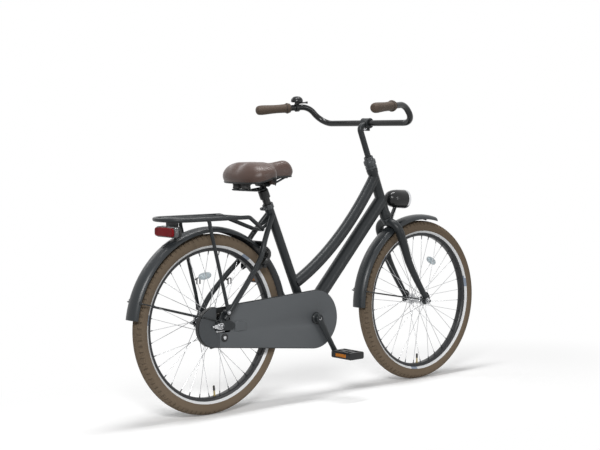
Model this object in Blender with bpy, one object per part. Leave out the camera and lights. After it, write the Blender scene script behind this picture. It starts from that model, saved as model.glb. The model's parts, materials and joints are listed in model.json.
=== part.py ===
# Step-through town bicycle with 24-inch wheels, as separate parts.
# Metres, +X forward, +Y to the rider's left, +Z up. The drive side is -Y.
# The origin is on the ground, under the middle of the whole bicycle.

import math

import bmesh
import bpy
from mathutils import Matrix, Vector

# Clearances
GAP = 0.0003

# Wheels
TYRE_RADIUS = 0.307
TYRE_WIDTH = 0.050
TYRE_WALL = 0.004
WHEEL_FACETS = 30
BEAD_RADIUS = 0.2537
RIM_BASE_RADIUS = 0.2465
RIM_WIDTH = 0.030
RIM_WALL = 0.002
RIM_HOLD = 0.0038
SPOKES_PER_WHEEL = 36
SPOKE_RADIUS = 0.0011
REAR_FLANGE_RADIUS = 0.0335
REAR_BARREL_RADIUS = 0.027
FRONT_FLANGE_RADIUS = 0.0200
FRONT_BARREL_RADIUS = 0.0115
AXLE_RADIUS = 0.0050
REAR_FLANGE_OFFSET = 0.026
FRONT_FLANGE_OFFSET = 0.030
VALVE_LENGTH = 0.036
VALVE_RADIUS = 0.0036

# Frame layout
WHEELBASE = 1.0166
HEAD_ANGLE = 67.5
SEAT_ANGLE = 66.55
RAKE = 0.037
BOTTOM_BRACKET_AHEAD = 0.4345
BOTTOM_BRACKET_HEIGHT = 0.2925
SEAT_TUBE_LENGTH = 0.444
SEAT_TUBE_RADIUS = 0.016
DOWN_TUBE_RADIUS = 0.025
TOP_TUBE_RADIUS = 0.021
SEAT_STAY_RADIUS = 0.0092
CHAINSTAY_RADIUS = 0.008
SHELL_RADIUS = 0.0205
SHELL_HALF_WIDTH = 0.034
DROPOUT_INNER = 0.0575
DROPOUT_THICKNESS = 0.006

# Steering, along the steering axis from the level of the front axle
HEAD_TUBE_START = 0.3776
HEAD_TUBE_LENGTH = 0.1787
HEAD_TUBE_RADIUS = 0.019
HEAD_TUBE_BORE = 0.0155
STEERER_RADIUS = 0.0127
STEERER_BORE = 0.0116
QUILL_RADIUS = 0.0112
CUP_HEIGHT = 0.0117
LOCKNUT_HEIGHT = 0.046
CROWN_LEVEL = 0.348
CROWN_TUBE_RADIUS = 0.0160
BLADE_SPACING = 0.053
BLADE_END_RADIUS = 0.0105
FRONT_DROPOUT_INNER = 0.050
FRONT_DROPOUT_THICKNESS = 0.005
BAR_LEVEL = 0.7318
BAR_AHEAD = 0.040
BAR_RADIUS = 0.0111

# Drive
PITCH = 0.0127
RING_TEETH = 40
SPROCKET_TEETH = 18
CHAIN_LINE = 0.044
RING_THICKNESS = 0.0030
CRANK_LENGTH = 0.152
CRANK_FORWARD_OF_DOWN = 31.6
CRANK_AXLE_RADIUS = 0.0085
CRANK_ARM_INNER = 0.067
CRANK_ARM_THICKNESS = 0.013
PEDAL_WIDTH = 0.095
PEDAL_LENGTH = 0.068
PEDAL_HEIGHT = 0.025
PEDAL_SPINDLE_RADIUS = 0.0045

# Chaincase
CASE_INNER = 0.0555
CASE_WALL = 0.002
CASE_DEPTH = 0.022
CASE_FRONT_RADIUS = 0.102
CASE_REAR_RADIUS = 0.065
CASE_CRANK_HOLE = 0.0208
CASE_SEAM_AHEAD = 0.000

# Mudguards
GUARD_RADIUS = 0.3295
GUARD_HALF_WIDTH = 0.031
GUARD_DEPTH = 0.0185
GUARD_SHEET = 0.002
REAR_GUARD_START = 2.0
REAR_GUARD_END = 172.5
FRONT_GUARD_START = 75.0
FRONT_GUARD_END = 180.5
WIRE_RADIUS = 0.0022

# Carrier
CARRIER_HEIGHT = 0.664
CARRIER_HALF_WIDTH = 0.079
CARRIER_TUBE_RADIUS = 0.007
CARRIER_REAR = -0.200
CARRIER_FRONT = 0.112
CARRIER_LEG_RADIUS = 0.0075

# Saddle
SEATPOST_RADIUS = 0.0136
SADDLE_LENGTH = 0.255
SADDLE_WIDTH = 0.212
SADDLE_HEIGHT = 0.050
SADDLE_NOSE_AHEAD = 0.373
SADDLE_UNDERSIDE = 0.795

# Handlebar, from its middle
BAR_CORNER_OUT = 0.2398
BAR_RISE = 0.0637
BAR_END_BACK = 0.2686
BAR_END_OUT = 0.3064
GRIP_LENGTH = 0.140
GRIP_RADIUS = 0.0165

# Kickstand
KICKSTAND_SWING = 82.0

# Smaller sizes, grouped by the piece that they shape
TUBE_FACETS = 12
STAY_FACETS = 7
HUB_FACETS = 12
REAR_SPOKE_TURN = -5.0
REAR_VALVE_ANGLE = 275.0
FRONT_VALVE_ANGLE = 270.0
HUB_HALF_LENGTH = 0.036
CONE_LENGTH = 0.0065
DRIVER_RADIUS = 0.017
REFLECTOR_RADIUS = 0.165
REFLECTOR_HEIGHT = 0.016
REFLECTOR_LENGTH = 0.052
REAR_REFLECTOR_ANGLE = 96.0
FRONT_REFLECTOR_ANGLE = 62.0
ROLLER_HALF_HEIGHT = 0.0040
ROLLER_HALF_LENGTH = 0.0026
CHAIN_HALF_WIDTH = 0.0040
CHAIN_INNER_HALF = 0.0022
RING_BORE_RADIUS = 0.0165
RING_WINDOWS = 5
RING_WINDOW_RADIUS = 0.016
CRANK_BOSS_RADIUS = 0.0195
PEDAL_CLEARANCE = 0.008
CASE_RIM = 0.0025
SHELL_BORE = 0.0170
TOP_TUBE_DROP = 0.026
TOP_TUBE_ON_SEAT_TUBE = 0.1335
TOP_TUBE_STEEP = 56.0
TOP_TUBE_FLAT = 26.0
TOP_TUBE_BOW = 0.200
DOWN_TUBE_RISE = 0.060
SEAT_BORE_START = 0.200
SEATPOST_FREE_LENGTH = 0.045
SEATPOST_TOP = 0.498
CARRIER_EYE = Vector((0.018, 0, 0.046))
CARRIER_EYE_OUT = 0.0815
BRACE_RADIUS = 0.007
CARRIER_MOUNT = Vector((0.214, 0, 0.616))
CARRIER_REAR_BEND = 0.072
LEG_TOP_X = -0.062
LAMP_PLATE_X = -0.152
REAR_LAMP_WIDTH = 0.110
REAR_LAMP_HEIGHT = 0.036
BLADE_BEND_START = 0.185
CROWN_BEND = 0.045
STEERER_IN_NUT = 0.030
LAMP_AHEAD = 0.032
LAMP_LEVEL = 0.431
LAMP_DIP = 3.6
LAMP_RADIUS = 0.036
LAMP_LENGTH = 0.122
LAMP_FACETS = 12
FRONT_STAY_ANGLE = 169.5
FRONT_EYE_X = -0.019
FRONT_EYE_Z = 0.005
REAR_STAY_ANGLE = 162.0
REAR_EYE_X = -0.005
REAR_EYE_Z = 0.018
TENSIONER_THICKNESS = 0.002
BRAKE_ARM_THICKNESS = 0.0035
BRAKE_CLIP_INDEX = 6
QUILL_END = 0.470
CLAMP_RADIUS = 0.0190
CLAMP_HALF_WIDTH = 0.019
BAR_SWEEP_START = 0.0619
BAR_END_DROP = 0.0161
BAR_CORNER_BEND = 0.060
BAR_END_BEND = 0.070
GRIP_CAP = 0.0045
GRIP_FLANGE = 1.36
BELL_ALONG = 0.165
BELL_RADIUS = 0.023
RAIL_RADIUS = 0.0035
RAIL_DROP = 0.022
RAIL_HALF_SPACING = 0.022
SADDLE_BASE_HEIGHT = 0.012
SADDLE_STATIONS = 15
BRIDGE_ANGLE = 52.0
BRIDGE_HALF_WIDTH = 0.044
BRIDGE_DEPTH = 0.005
LOCK_ANGLE = 45.0
LOCK_CENTRE_RADIUS = 0.290
LOCK_RING_RADIUS = 0.0505
LOCK_HALF_DEPTH = 0.0068
LOCK_SPACER_RADIUS = 0.0045
LOCK_SPACER_OUT = 0.004
LOCK_OPENING = 80.0
LOCK_BOLT_RADIUS = 0.0030
LOCK_BOLT_ARC = 104.0
LOCK_BOLT_PLAY = 0.0003
LOCK_KNOB_ANGLE = 44.0
LOCK_TRAVEL = 88.0
KICKSTAND_BOSS_RADIUS = 0.0105
KICKSTAND_FOOT = Vector((0.066, 0.080, 0.212))

TURN_TO_Y = Matrix.Rotation(-math.pi / 2, 4, "X")
UP = Vector((0, 0, 1))
LEFT = Vector((0, 1, 0))
FORWARD = Vector((1, 0, 0))

AXLE_HEIGHT = TYRE_RADIUS * math.cos(math.pi / WHEEL_FACETS)
RING_PITCH_RADIUS = PITCH / (2 * math.sin(math.pi / RING_TEETH))
SPROCKET_PITCH_RADIUS = PITCH / (2 * math.sin(math.pi / SPROCKET_TEETH))
HEAD_TUBE_END = HEAD_TUBE_START + HEAD_TUBE_LENGTH

REAR_AXLE = Vector((0, 0, AXLE_HEIGHT))
FRONT_AXLE = Vector((WHEELBASE, 0, AXLE_HEIGHT))
BOTTOM_BRACKET = Vector((BOTTOM_BRACKET_AHEAD, 0, BOTTOM_BRACKET_HEIGHT))
STEER_UP = Vector((-math.cos(math.radians(HEAD_ANGLE)), 0, math.sin(math.radians(HEAD_ANGLE))))
STEER_AHEAD = Vector((math.sin(math.radians(HEAD_ANGLE)), 0, math.cos(math.radians(HEAD_ANGLE))))
STEER_ORIGIN = FRONT_AXLE - STEER_AHEAD * RAKE
SEAT_UP = Vector((-math.cos(math.radians(SEAT_ANGLE)), 0, math.sin(math.radians(SEAT_ANGLE))))
SEAT_BACK = Vector((-SEAT_UP.z, 0, SEAT_UP.x))
SEAT_TOP = BOTTOM_BRACKET + SEAT_UP * SEAT_TUBE_LENGTH

# Colour, roughness and metallic value of each material
FINISHES = {
    "black_paint": ((0.022, 0.024, 0.028), 0.42, 0.0),
    "dark_plastic": ((0.045, 0.047, 0.052), 0.55, 0.0),
    "black_plastic": ((0.015, 0.015, 0.016), 0.50, 0.0),
    "brown_tyre": ((0.150, 0.098, 0.058), 0.85, 0.0),
    "black_rim": ((0.020, 0.020, 0.022), 0.35, 0.4),
    "steel": ((0.560, 0.565, 0.575), 0.30, 1.0),
    "brown_leather": ((0.115, 0.040, 0.026), 0.50, 0.0),
    "grip_brown": ((0.130, 0.085, 0.065), 0.65, 0.0),
    "amber": ((0.850, 0.270, 0.015), 0.20, 0.0),
    "red_lens": ((0.600, 0.015, 0.015), 0.15, 0.0),
    "clear_lens": ((0.800, 0.820, 0.840), 0.08, 0.0),
}


def clear_scene():
    for thing in list(bpy.data.objects):
        bpy.data.objects.remove(thing, do_unlink=True)


def make_material(name):
    colour, roughness, metallic = FINISHES[name]
    material = bpy.data.materials.get(name)
    if material is None:
        material = bpy.data.materials.new(name)
        material.use_nodes = True
        shader = material.node_tree.nodes["Principled BSDF"]
        shader.inputs["Base Color"].default_value = (*colour, 1.0)
        shader.inputs["Roughness"].default_value = roughness
        shader.inputs["Metallic"].default_value = metallic
    return material


def make_empty(name, location, rotation=None, parent=None):
    empty = bpy.data.objects.new(name, None)
    empty.empty_display_size = 0.05
    bpy.context.scene.collection.objects.link(empty)
    if parent is not None:
        empty.parent = parent
        bpy.context.view_layer.update()
    base = Matrix.Translation(location)
    if rotation is not None:
        base = base @ rotation
    empty.matrix_world = base
    bpy.context.view_layer.update()
    return empty


def shape(bm):
    bmesh.ops.recalc_face_normals(bm, faces=bm.faces[:])
    mesh = bpy.data.meshes.new("shape")
    bm.to_mesh(mesh)
    bm.free()
    thing = bpy.data.objects.new("shape", mesh)
    bpy.context.scene.collection.objects.link(thing)
    return thing


def finish(name, thing, material, frame, crease=32.0):
    thing.name = name
    thing.data.name = name
    thing.data.materials.clear()
    thing.data.materials.append(make_material(material))
    thing.data.shade_smooth()
    thing.data.set_sharp_from_angle(angle=math.radians(crease))
    thing.parent = frame
    return thing


def combine(target, tools, operation):
    for tool in tools:
        modifier = target.modifiers.new("combine", "BOOLEAN")
        modifier.operation = operation
        modifier.solver = "EXACT"
        modifier.object = tool
    depsgraph = bpy.context.evaluated_depsgraph_get()
    result = bpy.data.meshes.new_from_object(target.evaluated_get(depsgraph))
    old = target.data
    target.modifiers.clear()
    target.data = result
    bpy.data.meshes.remove(old)
    for tool in tools:
        bpy.data.objects.remove(tool, do_unlink=True)
    return target


def union(target, *tools):
    return combine(target, tools, "UNION")


def cut(target, *tools):
    return combine(target, tools, "DIFFERENCE")


def moved(thing, matrix):
    thing.data.transform(matrix)
    if matrix.determinant() < 0:
        thing.data.flip_normals()
    return thing


def place_ring(bm, centre, along, side, radius, sides):
    along = along.normalized()
    if abs(side.normalized().dot(along)) > 0.999:
        side = UP
    across = (side - along * side.dot(along)).normalized()
    third = along.cross(across)
    wide, high = radius if isinstance(radius, tuple) else (radius, radius)
    turn = Matrix((across, third, along)).transposed().to_4x4()
    size = Matrix.Diagonal((wide, high, 1, 1))
    start = Matrix.Rotation(math.pi / sides, 4, "Z")
    made = bmesh.ops.create_circle(
        bm, cap_ends=False, segments=sides, radius=1.0,
        matrix=Matrix.Translation(centre) @ turn @ size @ start)
    verts = set(made["verts"])
    edges = [edge for edge in bm.edges if edge.verts[0] in verts and edge.verts[1] in verts]
    return edges, across


def sweep(points, radii, sides, side=LEFT):
    points = [Vector(point) for point in points]
    if not isinstance(radii, list):
        radii = [radii] * len(points)
    bm = bmesh.new()
    rings = []
    for i, point in enumerate(points):
        before = points[max(i - 1, 0)]
        after = points[min(i + 1, len(points) - 1)]
        into = (point - before).normalized() if i > 0 else Vector()
        out = (after - point).normalized() if i < len(points) - 1 else Vector()
        ring, side = place_ring(bm, point, into + out, side, radii[i], sides)
        rings.append(ring)
    for near, far in zip(rings, rings[1:]):
        bmesh.ops.bridge_loops(bm, edges=near + far)
    bmesh.ops.edgeloop_fill(bm, edges=rings[0])
    bmesh.ops.edgeloop_fill(bm, edges=rings[-1])
    return shape(bm)


def rod(start, end, radius, sides=12, end_radius=None, side=LEFT):
    radii = [radius, radius if end_radius is None else end_radius]
    return sweep([start, end], radii, sides, side)


def turned(profile, steps, matrix=Matrix(), ring=False):
    bm = bmesh.new()
    verts = [bm.verts.new((radius, 0, height)) for radius, height in profile]
    edges = [bm.edges.new(pair) for pair in zip(verts, verts[1:])]
    if ring:
        edges.append(bm.edges.new((verts[-1], verts[0])))
    bmesh.ops.spin(
        bm, geom=verts + edges, cent=(0, 0, 0), axis=(0, 0, 1),
        angle=2 * math.pi, steps=steps, use_merge=True)
    bmesh.ops.remove_doubles(bm, verts=bm.verts[:], dist=0.00001)
    bm.transform(matrix)
    return shape(bm)


def spun(profile, start, end, steps, matrix):
    bm = bmesh.new()
    turn = Matrix.Rotation(math.radians(start), 3, "Z")
    verts = [bm.verts.new(turn @ Vector((radius, 0, height))) for radius, height in profile]
    face = bm.faces.new(verts)
    bmesh.ops.spin(bm, geom=[face], cent=(0, 0, 0), axis=(0, 0, 1),
                   angle=math.radians(end - start), steps=steps)
    bm.transform(matrix)
    return shape(bm)


def plate(outline, near, far):
    bm = bmesh.new()
    face = bm.faces.new([bm.verts.new((x, near, z)) for x, z in outline])
    made = bmesh.ops.extrude_face_region(bm, geom=[face])
    verts = [item for item in made["geom"] if isinstance(item, bmesh.types.BMVert)]
    bmesh.ops.translate(bm, verts=verts, vec=(0, far - near, 0))
    return shape(bm)


def block(low, high):
    bm = bmesh.new()
    low = Vector(low)
    high = Vector(high)
    size = high - low
    middle = Matrix.Translation((low + high) / 2)
    bmesh.ops.create_cube(bm, size=1.0, matrix=middle @ Matrix.Diagonal((*size, 1)))
    return shape(bm)


def disc_outline(x, z, radius, count, start=0.0):
    turn = 2 * math.pi / count
    return [(x + radius * math.cos(start + turn * i), z + radius * math.sin(start + turn * i))
            for i in range(count)]


def bezier(first, handle_a, handle_b, last, count):
    points = []
    for i in range(count):
        t = i / (count - 1)
        u = 1 - t
        points.append(first * u ** 3 + handle_a * (3 * u * u * t)
                      + handle_b * (3 * u * t * t) + last * t ** 3)
    return points


def smooth_path(points, steps):
    points = [Vector(point) for point in points]
    ends = [points[0] * 2 - points[1]] + points + [points[-1] * 2 - points[-2]]
    path = []
    for i in range(1, len(ends) - 2):
        a, b, c, d = ends[i - 1:i + 3]
        for k in range(steps):
            t = k / steps
            path.append(((b * 2) + (c - a) * t + (a * 2 - b * 5 + c * 4 - d) * t ** 2
                         + (b * 3 - a - c * 3 + d) * t ** 3) / 2)
    path.append(points[-1])
    return path


def rounded_path(corners, radii, steps):
    corners = [Vector(corner) for corner in corners]
    path = [corners[0]]
    for i, radius in enumerate(radii, 1):
        corner = corners[i]
        back = (corners[i - 1] - corner).normalized()
        ahead = (corners[i + 1] - corner).normalized()
        half = back.angle(ahead) / 2
        middle = corner + (back + ahead).normalized() * (radius / math.sin(half))
        start = corner + back * (radius / math.tan(half))
        spoke = start - middle
        axis = spoke.cross(corner + ahead * (radius / math.tan(half)) - middle)
        total = math.pi - 2 * half
        for k in range(steps + 1):
            path.append(middle + Matrix.Rotation(total * k / steps, 3, axis.normalized()) @ spoke)
    path.append(corners[-1])
    return path


def steering_point(ahead, left, along):
    return STEER_ORIGIN + STEER_AHEAD * ahead + LEFT * left + STEER_UP * along


def polar(centre, radius, degrees, left=0.0):
    angle = math.radians(degrees)
    return centre + Vector((radius * math.cos(angle), left, radius * math.sin(angle)))


def add_rod(bm, start, end, radius, sides):
    along = Vector(end) - Vector(start)
    near = place_ring(bm, Vector(start), along, LEFT, radius, sides)[0]
    far = place_ring(bm, Vector(end), along, LEFT, radius, sides)[0]
    bmesh.ops.bridge_loops(bm, edges=near + far)
    bmesh.ops.edgeloop_fill(bm, edges=near)
    bmesh.ops.edgeloop_fill(bm, edges=far)


def mirror_profile(half):
    return half + [(radius, -height) for radius, height in reversed(half)]


def bore_for(shaft, sides):
    # The flat sides of the hole clear the shaft too, however it is turned.
    return (shaft + GAP) / math.cos(math.pi / sides)


# Wheels, modelled about their own axle
def make_tyre(name, frame):
    half = TYRE_WIDTH / 2
    bead_half = RIM_WIDTH / 2 - RIM_WALL - 2 * GAP
    rim_top = BEAD_RADIUS + RIM_HOLD
    belly = (rim_top + TYRE_RADIUS) / 2
    crown = (belly + TYRE_RADIUS) / 2
    inside = [
        (belly + TYRE_WALL, half - 1.5 * TYRE_WALL),
        (BEAD_RADIUS, bead_half - TYRE_WALL),
    ]
    outside = [
        (BEAD_RADIUS, bead_half),
        (rim_top + 0.001, bead_half),
        (belly, half),
        (crown, 0.88 * half),
        (TYRE_RADIUS, 0.42 * half),
    ]
    profile = mirror_profile(inside + outside)
    tyre = turned(profile, WHEEL_FACETS, TURN_TO_Y, ring=True)
    return finish(name, tyre, "brown_tyre", frame, crease=50)


def make_rim(name, frame, valve_angle):
    half = RIM_WIDTH / 2
    top = BEAD_RADIUS + RIM_HOLD
    floor = RIM_BASE_RADIUS + 1.5 * RIM_WALL
    profile = mirror_profile([
        (floor, half - RIM_WALL),
        (top, half - RIM_WALL),
        (top, half),
        (RIM_BASE_RADIUS, half - RIM_WALL),
    ])
    rim = turned(profile, WHEEL_FACETS, TURN_TO_Y, ring=True)
    inner_end = RIM_BASE_RADIUS - VALVE_LENGTH
    levels = (BEAD_RADIUS, inner_end + VALVE_LENGTH / 3, inner_end)
    valve = sweep([polar(Vector(), level, valve_angle) for level in levels],
                  [VALVE_RADIUS, VALVE_RADIUS, VALVE_RADIUS * 0.6], 6)
    return finish(name, union(rim, valve), "black_rim", frame)


def spoke_ends(index, side, flange_radius, flange_offset, turn):
    # Eighteen holes a flange; each second spoke leans the other way and crosses three others.
    per_flange = SPOKES_PER_WHEEL // 2
    step = 360 / per_flange
    first = turn + (step / 4 if side < 0 else step * 3 / 4)
    lean = 1 if index % 2 == 0 else -1
    hole = first + step * index
    eye = flange_radius - 2.5 * SPOKE_RADIUS
    out = side * (flange_offset + lean * 1.45 * SPOKE_RADIUS)
    reach = RIM_BASE_RADIUS * math.cos(math.pi / WHEEL_FACETS) - 2 * GAP
    start = polar(Vector(), eye, hole, out)
    end = polar(Vector(), reach, hole + lean * 3 * step, side * 1.2 * SPOKE_RADIUS)
    return start, end


def make_hub(name, frame, profile, flange_radius, flange_offset, turn):
    hub = turned(mirror_profile(profile), HUB_FACETS, TURN_TO_Y, ring=True)
    bm = bmesh.new()
    for side in (-1, 1):
        for index in range(SPOKES_PER_WHEEL // 2):
            start, end = spoke_ends(index, side, flange_radius, flange_offset, turn)
            add_rod(bm, start, end, SPOKE_RADIUS, 3)
    spokes = shape(bm)
    modifier = hub.modifiers.new("lacing", "BOOLEAN")
    modifier.use_self = True
    modifier.operation = "UNION"
    modifier.object = spokes
    depsgraph = bpy.context.evaluated_depsgraph_get()
    hub.data = bpy.data.meshes.new_from_object(hub.evaluated_get(depsgraph))
    hub.modifiers.clear()
    bpy.data.objects.remove(spokes, do_unlink=True)
    return finish(name, hub, "steel", frame)


def make_rear_hub(frame):
    bore = bore_for(AXLE_RADIUS, HUB_FACETS)
    flange = REAR_FLANGE_RADIUS
    inner = REAR_FLANGE_OFFSET - SPOKE_RADIUS
    outer = REAR_FLANGE_OFFSET + SPOKE_RADIUS
    profile = [
        (bore, HUB_HALF_LENGTH),
        (0.6 * flange, HUB_HALF_LENGTH),
        (0.75 * flange, outer + 0.003),
        (flange, outer),
        (flange, inner),
        (REAR_BARREL_RADIUS, inner - 0.004),
    ]
    return make_hub("rear_hub_and_spokes", frame, profile, flange, REAR_FLANGE_OFFSET, REAR_SPOKE_TURN)


def make_front_hub(frame):
    bore = bore_for(AXLE_RADIUS, HUB_FACETS)
    flange = FRONT_FLANGE_RADIUS
    inner = FRONT_FLANGE_OFFSET - SPOKE_RADIUS
    outer = FRONT_FLANGE_OFFSET + SPOKE_RADIUS
    profile = [
        (bore, HUB_HALF_LENGTH),
        (0.45 * flange, HUB_HALF_LENGTH),
        (0.55 * flange, outer),
        (flange, outer),
        (flange, inner),
        (FRONT_BARREL_RADIUS, inner - 0.003),
    ]
    return make_hub("front_hub_and_spokes", frame, profile, flange, FRONT_FLANGE_OFFSET, 0.0)


def make_spoke_reflector(name, frame, flange_radius, flange_offset, degrees):
    # It is held in the middle, between the spokes of the two flanges.
    outer = REFLECTOR_RADIUS + REFLECTOR_HEIGHT / 2
    start, end = spoke_ends(1, 1, flange_radius, flange_offset, 0.0)
    points = [start.lerp(end, i / 100) for i in range(101)]
    beside = [point.y for point in points if math.hypot(point.x, point.z) <= outer]
    half = beside[-1] - SPOKE_RADIUS - GAP
    low = (-REFLECTOR_LENGTH / 2, -half, REFLECTOR_RADIUS - REFLECTOR_HEIGHT / 2)
    high = (REFLECTOR_LENGTH / 2, half, outer)
    reflector = block(low, high)
    moved(reflector, Matrix.Rotation(math.radians(90 - degrees), 4, "Y"))
    return finish(name, reflector, "clear_lens", frame)


# Drive, modelled about the chain line
def toothed_outline(teeth, pitch_radius, first_valley):
    step = 2 * math.pi / teeth
    root = pitch_radius - ROLLER_HALF_HEIGHT - GAP
    tip = pitch_radius + ROLLER_HALF_HEIGHT
    outline = []
    for i in range(teeth):
        valley = math.radians(first_valley) + step * i
        for share, radius in ((-0.24, root), (0.24, root), (0.5, tip)):
            angle = valley + share * step
            outline.append((radius * math.cos(angle), radius * math.sin(angle)))
    return outline


def chain_angles():
    gap = REAR_AXLE - BOTTOM_BRACKET
    toward = math.degrees(math.atan2(-gap.z, -gap.x))
    spread = math.degrees(math.asin((RING_PITCH_RADIUS - SPROCKET_PITCH_RADIUS) / gap.length))
    return toward + 90 + spread, toward - 90 - spread


def chain_rungs():
    # Each rung is a place and the chain's direction there, in the order that the chain runs.
    upper, lower = chain_angles()
    ring_step = 360 / RING_TEETH
    sprocket_step = 360 / SPROCKET_TEETH
    rungs = []
    ring_count = int((upper - lower) // ring_step) + 1
    sprocket_count = int((lower + 360 - upper) // sprocket_step) + 1
    ring = []
    for i in range(ring_count):
        degrees = upper - i * ring_step
        ring.append((polar(BOTTOM_BRACKET, RING_PITCH_RADIUS, degrees), degrees - 90))
    sprocket = []
    for i in range(sprocket_count):
        degrees = upper + i * sprocket_step
        sprocket.append((polar(REAR_AXLE, SPROCKET_PITCH_RADIUS, degrees), degrees - 90))
    sprocket.reverse()
    for near, far in ((ring, sprocket), (sprocket, ring)):
        rungs.extend(near)
        start = near[-1][0]
        end = far[0][0]
        count = round((end - start).length / PITCH)
        heading = math.degrees(math.atan2((end - start).z, (end - start).x))
        for i in range(1, count):
            rungs.append((start.lerp(end, i / count), heading))
    return rungs


def make_chain(frame):
    # Two rows of side plates joined by a roller at each pitch, which the teeth stand between.
    bm = bmesh.new()
    levels = (-CHAIN_HALF_WIDTH, -CHAIN_INNER_HALF, CHAIN_INNER_HALF, CHAIN_HALF_WIDTH)
    links = []
    for place, heading in chain_rungs():
        along = polar(Vector(), ROLLER_HALF_LENGTH, heading)
        up = polar(Vector(), ROLLER_HALF_HEIGHT, heading + 90)
        link = {"low": [], "high": [], "back": [], "ahead": []}
        for level in levels:
            middle = place + LEFT * (level - CHAIN_LINE)
            link["low"].append(bm.verts.new(middle - up))
            link["high"].append(bm.verts.new(middle + up))
        for level in levels[1:3]:
            middle = place + LEFT * (level - CHAIN_LINE)
            link["back"].append(bm.verts.new(middle - along))
            link["ahead"].append(bm.verts.new(middle + along))
        links.append(link)
    for near, far in zip(links, links[1:] + links[:1]):
        for a, b in ((0, 1), (2, 3)):
            bm.faces.new((near["low"][a], near["low"][b], far["low"][b], far["low"][a]))
            bm.faces.new((near["high"][a], near["high"][b], far["high"][b], far["high"][a]))
        for wall in (0, 3):
            bm.faces.new((near["low"][wall], near["high"][wall], far["high"][wall], far["low"][wall]))
        for k in (0, 1):
            wall = k + 1
            bm.faces.new((near["low"][wall], near["ahead"][k], near["high"][wall],
                          far["high"][wall], far["back"][k], far["low"][wall]))
        for corner in ("back", "ahead"):
            for end in ("low", "high"):
                bm.faces.new((near[corner][0], near[corner][1], near[end][2], near[end][1]))
    return finish("chain", shape(bm), "steel", frame)


def make_chainring(frame):
    # It is bolted to a ledge on the crank arm's boss.
    upper = chain_angles()[0]
    near = -CHAIN_LINE - RING_THICKNESS / 2
    far = -CHAIN_LINE + RING_THICKNESS / 2
    ring = plate(toothed_outline(RING_TEETH, RING_PITCH_RADIUS, upper), near, far)
    holes = [plate(disc_outline(0, 0, RING_BORE_RADIUS, 14), near - 0.01, far + 0.01)]
    window = (RING_PITCH_RADIUS - ROLLER_HALF_HEIGHT + RING_BORE_RADIUS) / 2
    for i in range(RING_WINDOWS):
        angle = 2 * math.pi * i / RING_WINDOWS
        x = window * math.cos(angle)
        z = window * math.sin(angle)
        holes.append(plate(disc_outline(x, z, RING_WINDOW_RADIUS, 6), near - 0.01, far + 0.01))
    return finish("chainring", cut(ring, *holes), "steel", frame)


def make_sprocket(frame):
    upper = chain_angles()[0]
    near = -CHAIN_LINE - RING_THICKNESS / 2
    far = -CHAIN_LINE + RING_THICKNESS / 2
    disc = plate(toothed_outline(SPROCKET_TEETH, SPROCKET_PITCH_RADIUS, upper), near, far)
    driver_outer = -DROPOUT_INNER + CONE_LENGTH + GAP
    driver = rod((0, driver_outer, 0), (0, -HUB_HALF_LENGTH - GAP, 0), DRIVER_RADIUS, 12)
    bore = rod((0, driver_outer - 0.01, 0), (0, -HUB_HALF_LENGTH + 0.01, 0),
               bore_for(AXLE_RADIUS, 8), 8)
    return finish("sprocket", cut(union(disc, driver), bore), "steel", frame)


def make_crank_axle(frame):
    # Its square ends hold the arms.
    end = CRANK_ARM_INNER + CRANK_ARM_THICKNESS - 0.003
    square = CRANK_AXLE_RADIUS * 0.9
    points = [(0, -end, 0), (0, -SHELL_HALF_WIDTH, 0), (0, SHELL_HALF_WIDTH, 0), (0, end, 0)]
    axle = sweep(points[1:3], CRANK_AXLE_RADIUS, 10, side=UP)
    for a, b in ((points[0], points[1]), (points[2], points[3])):
        axle = union(axle, rod(a, (0, b[1] * 0.9, 0), square, 4, side=UP))
    return finish("crank_axle", axle, "steel", frame)


def make_crank_arm(name, frame, side):
    # The right arm's boss reaches inward through the case to carry the chainring.
    inner = CRANK_ARM_INNER
    outer = inner + CRANK_ARM_THICKNESS
    down = math.radians(270 + CRANK_FORWARD_OF_DOWN)
    if side > 0:
        down += math.pi
    direction = Vector((math.cos(down), 0, math.sin(down)))
    middle = LEFT * side * (inner + outer) / 2
    sizes = [(0.008, 0.0135), (0.0065, 0.0125), (0.0062, 0.0105), (0.007, 0.0120)]
    shares = [-0.06, 0.1, 0.8, 1.06]
    points = [middle + direction * CRANK_LENGTH * share for share in shares]
    arm = sweep(points, sizes, 8, side=LEFT)
    boss_in = CHAIN_LINE + RING_THICKNESS / 2 + GAP if side < 0 else SHELL_HALF_WIDTH + 0.006
    parts = [rod(LEFT * side * boss_in, LEFT * side * outer, CRANK_BOSS_RADIUS, 14)]
    if side < 0:
        ledge_end = CHAIN_LINE - RING_THICKNESS / 2 - 0.003
        ledge = RING_BORE_RADIUS * math.cos(math.pi / 14) - GAP
        parts.append(rod(LEFT * side * ledge_end, LEFT * side * inner, ledge, 14))
    arm = union(arm, *parts)
    eye = direction * CRANK_LENGTH
    axle_half = CRANK_AXLE_RADIUS * 0.9 + GAP
    holes = [
        rod(LEFT * side * 0.02, LEFT * side * (outer - 0.003 + GAP), axle_half, 4, side=UP),
        rod(eye + LEFT * side * (inner - 0.01), eye + LEFT * side * (outer + 0.01),
            bore_for(PEDAL_SPINDLE_RADIUS, 8), 8),
    ]
    return finish(name, cut(arm, *holes), "black_paint", frame)


def pedal_place(side):
    down = math.radians(270 + CRANK_FORWARD_OF_DOWN)
    if side > 0:
        down += math.pi
    return BOTTOM_BRACKET + Vector((math.cos(down), 0, math.sin(down))) * CRANK_LENGTH


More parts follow.
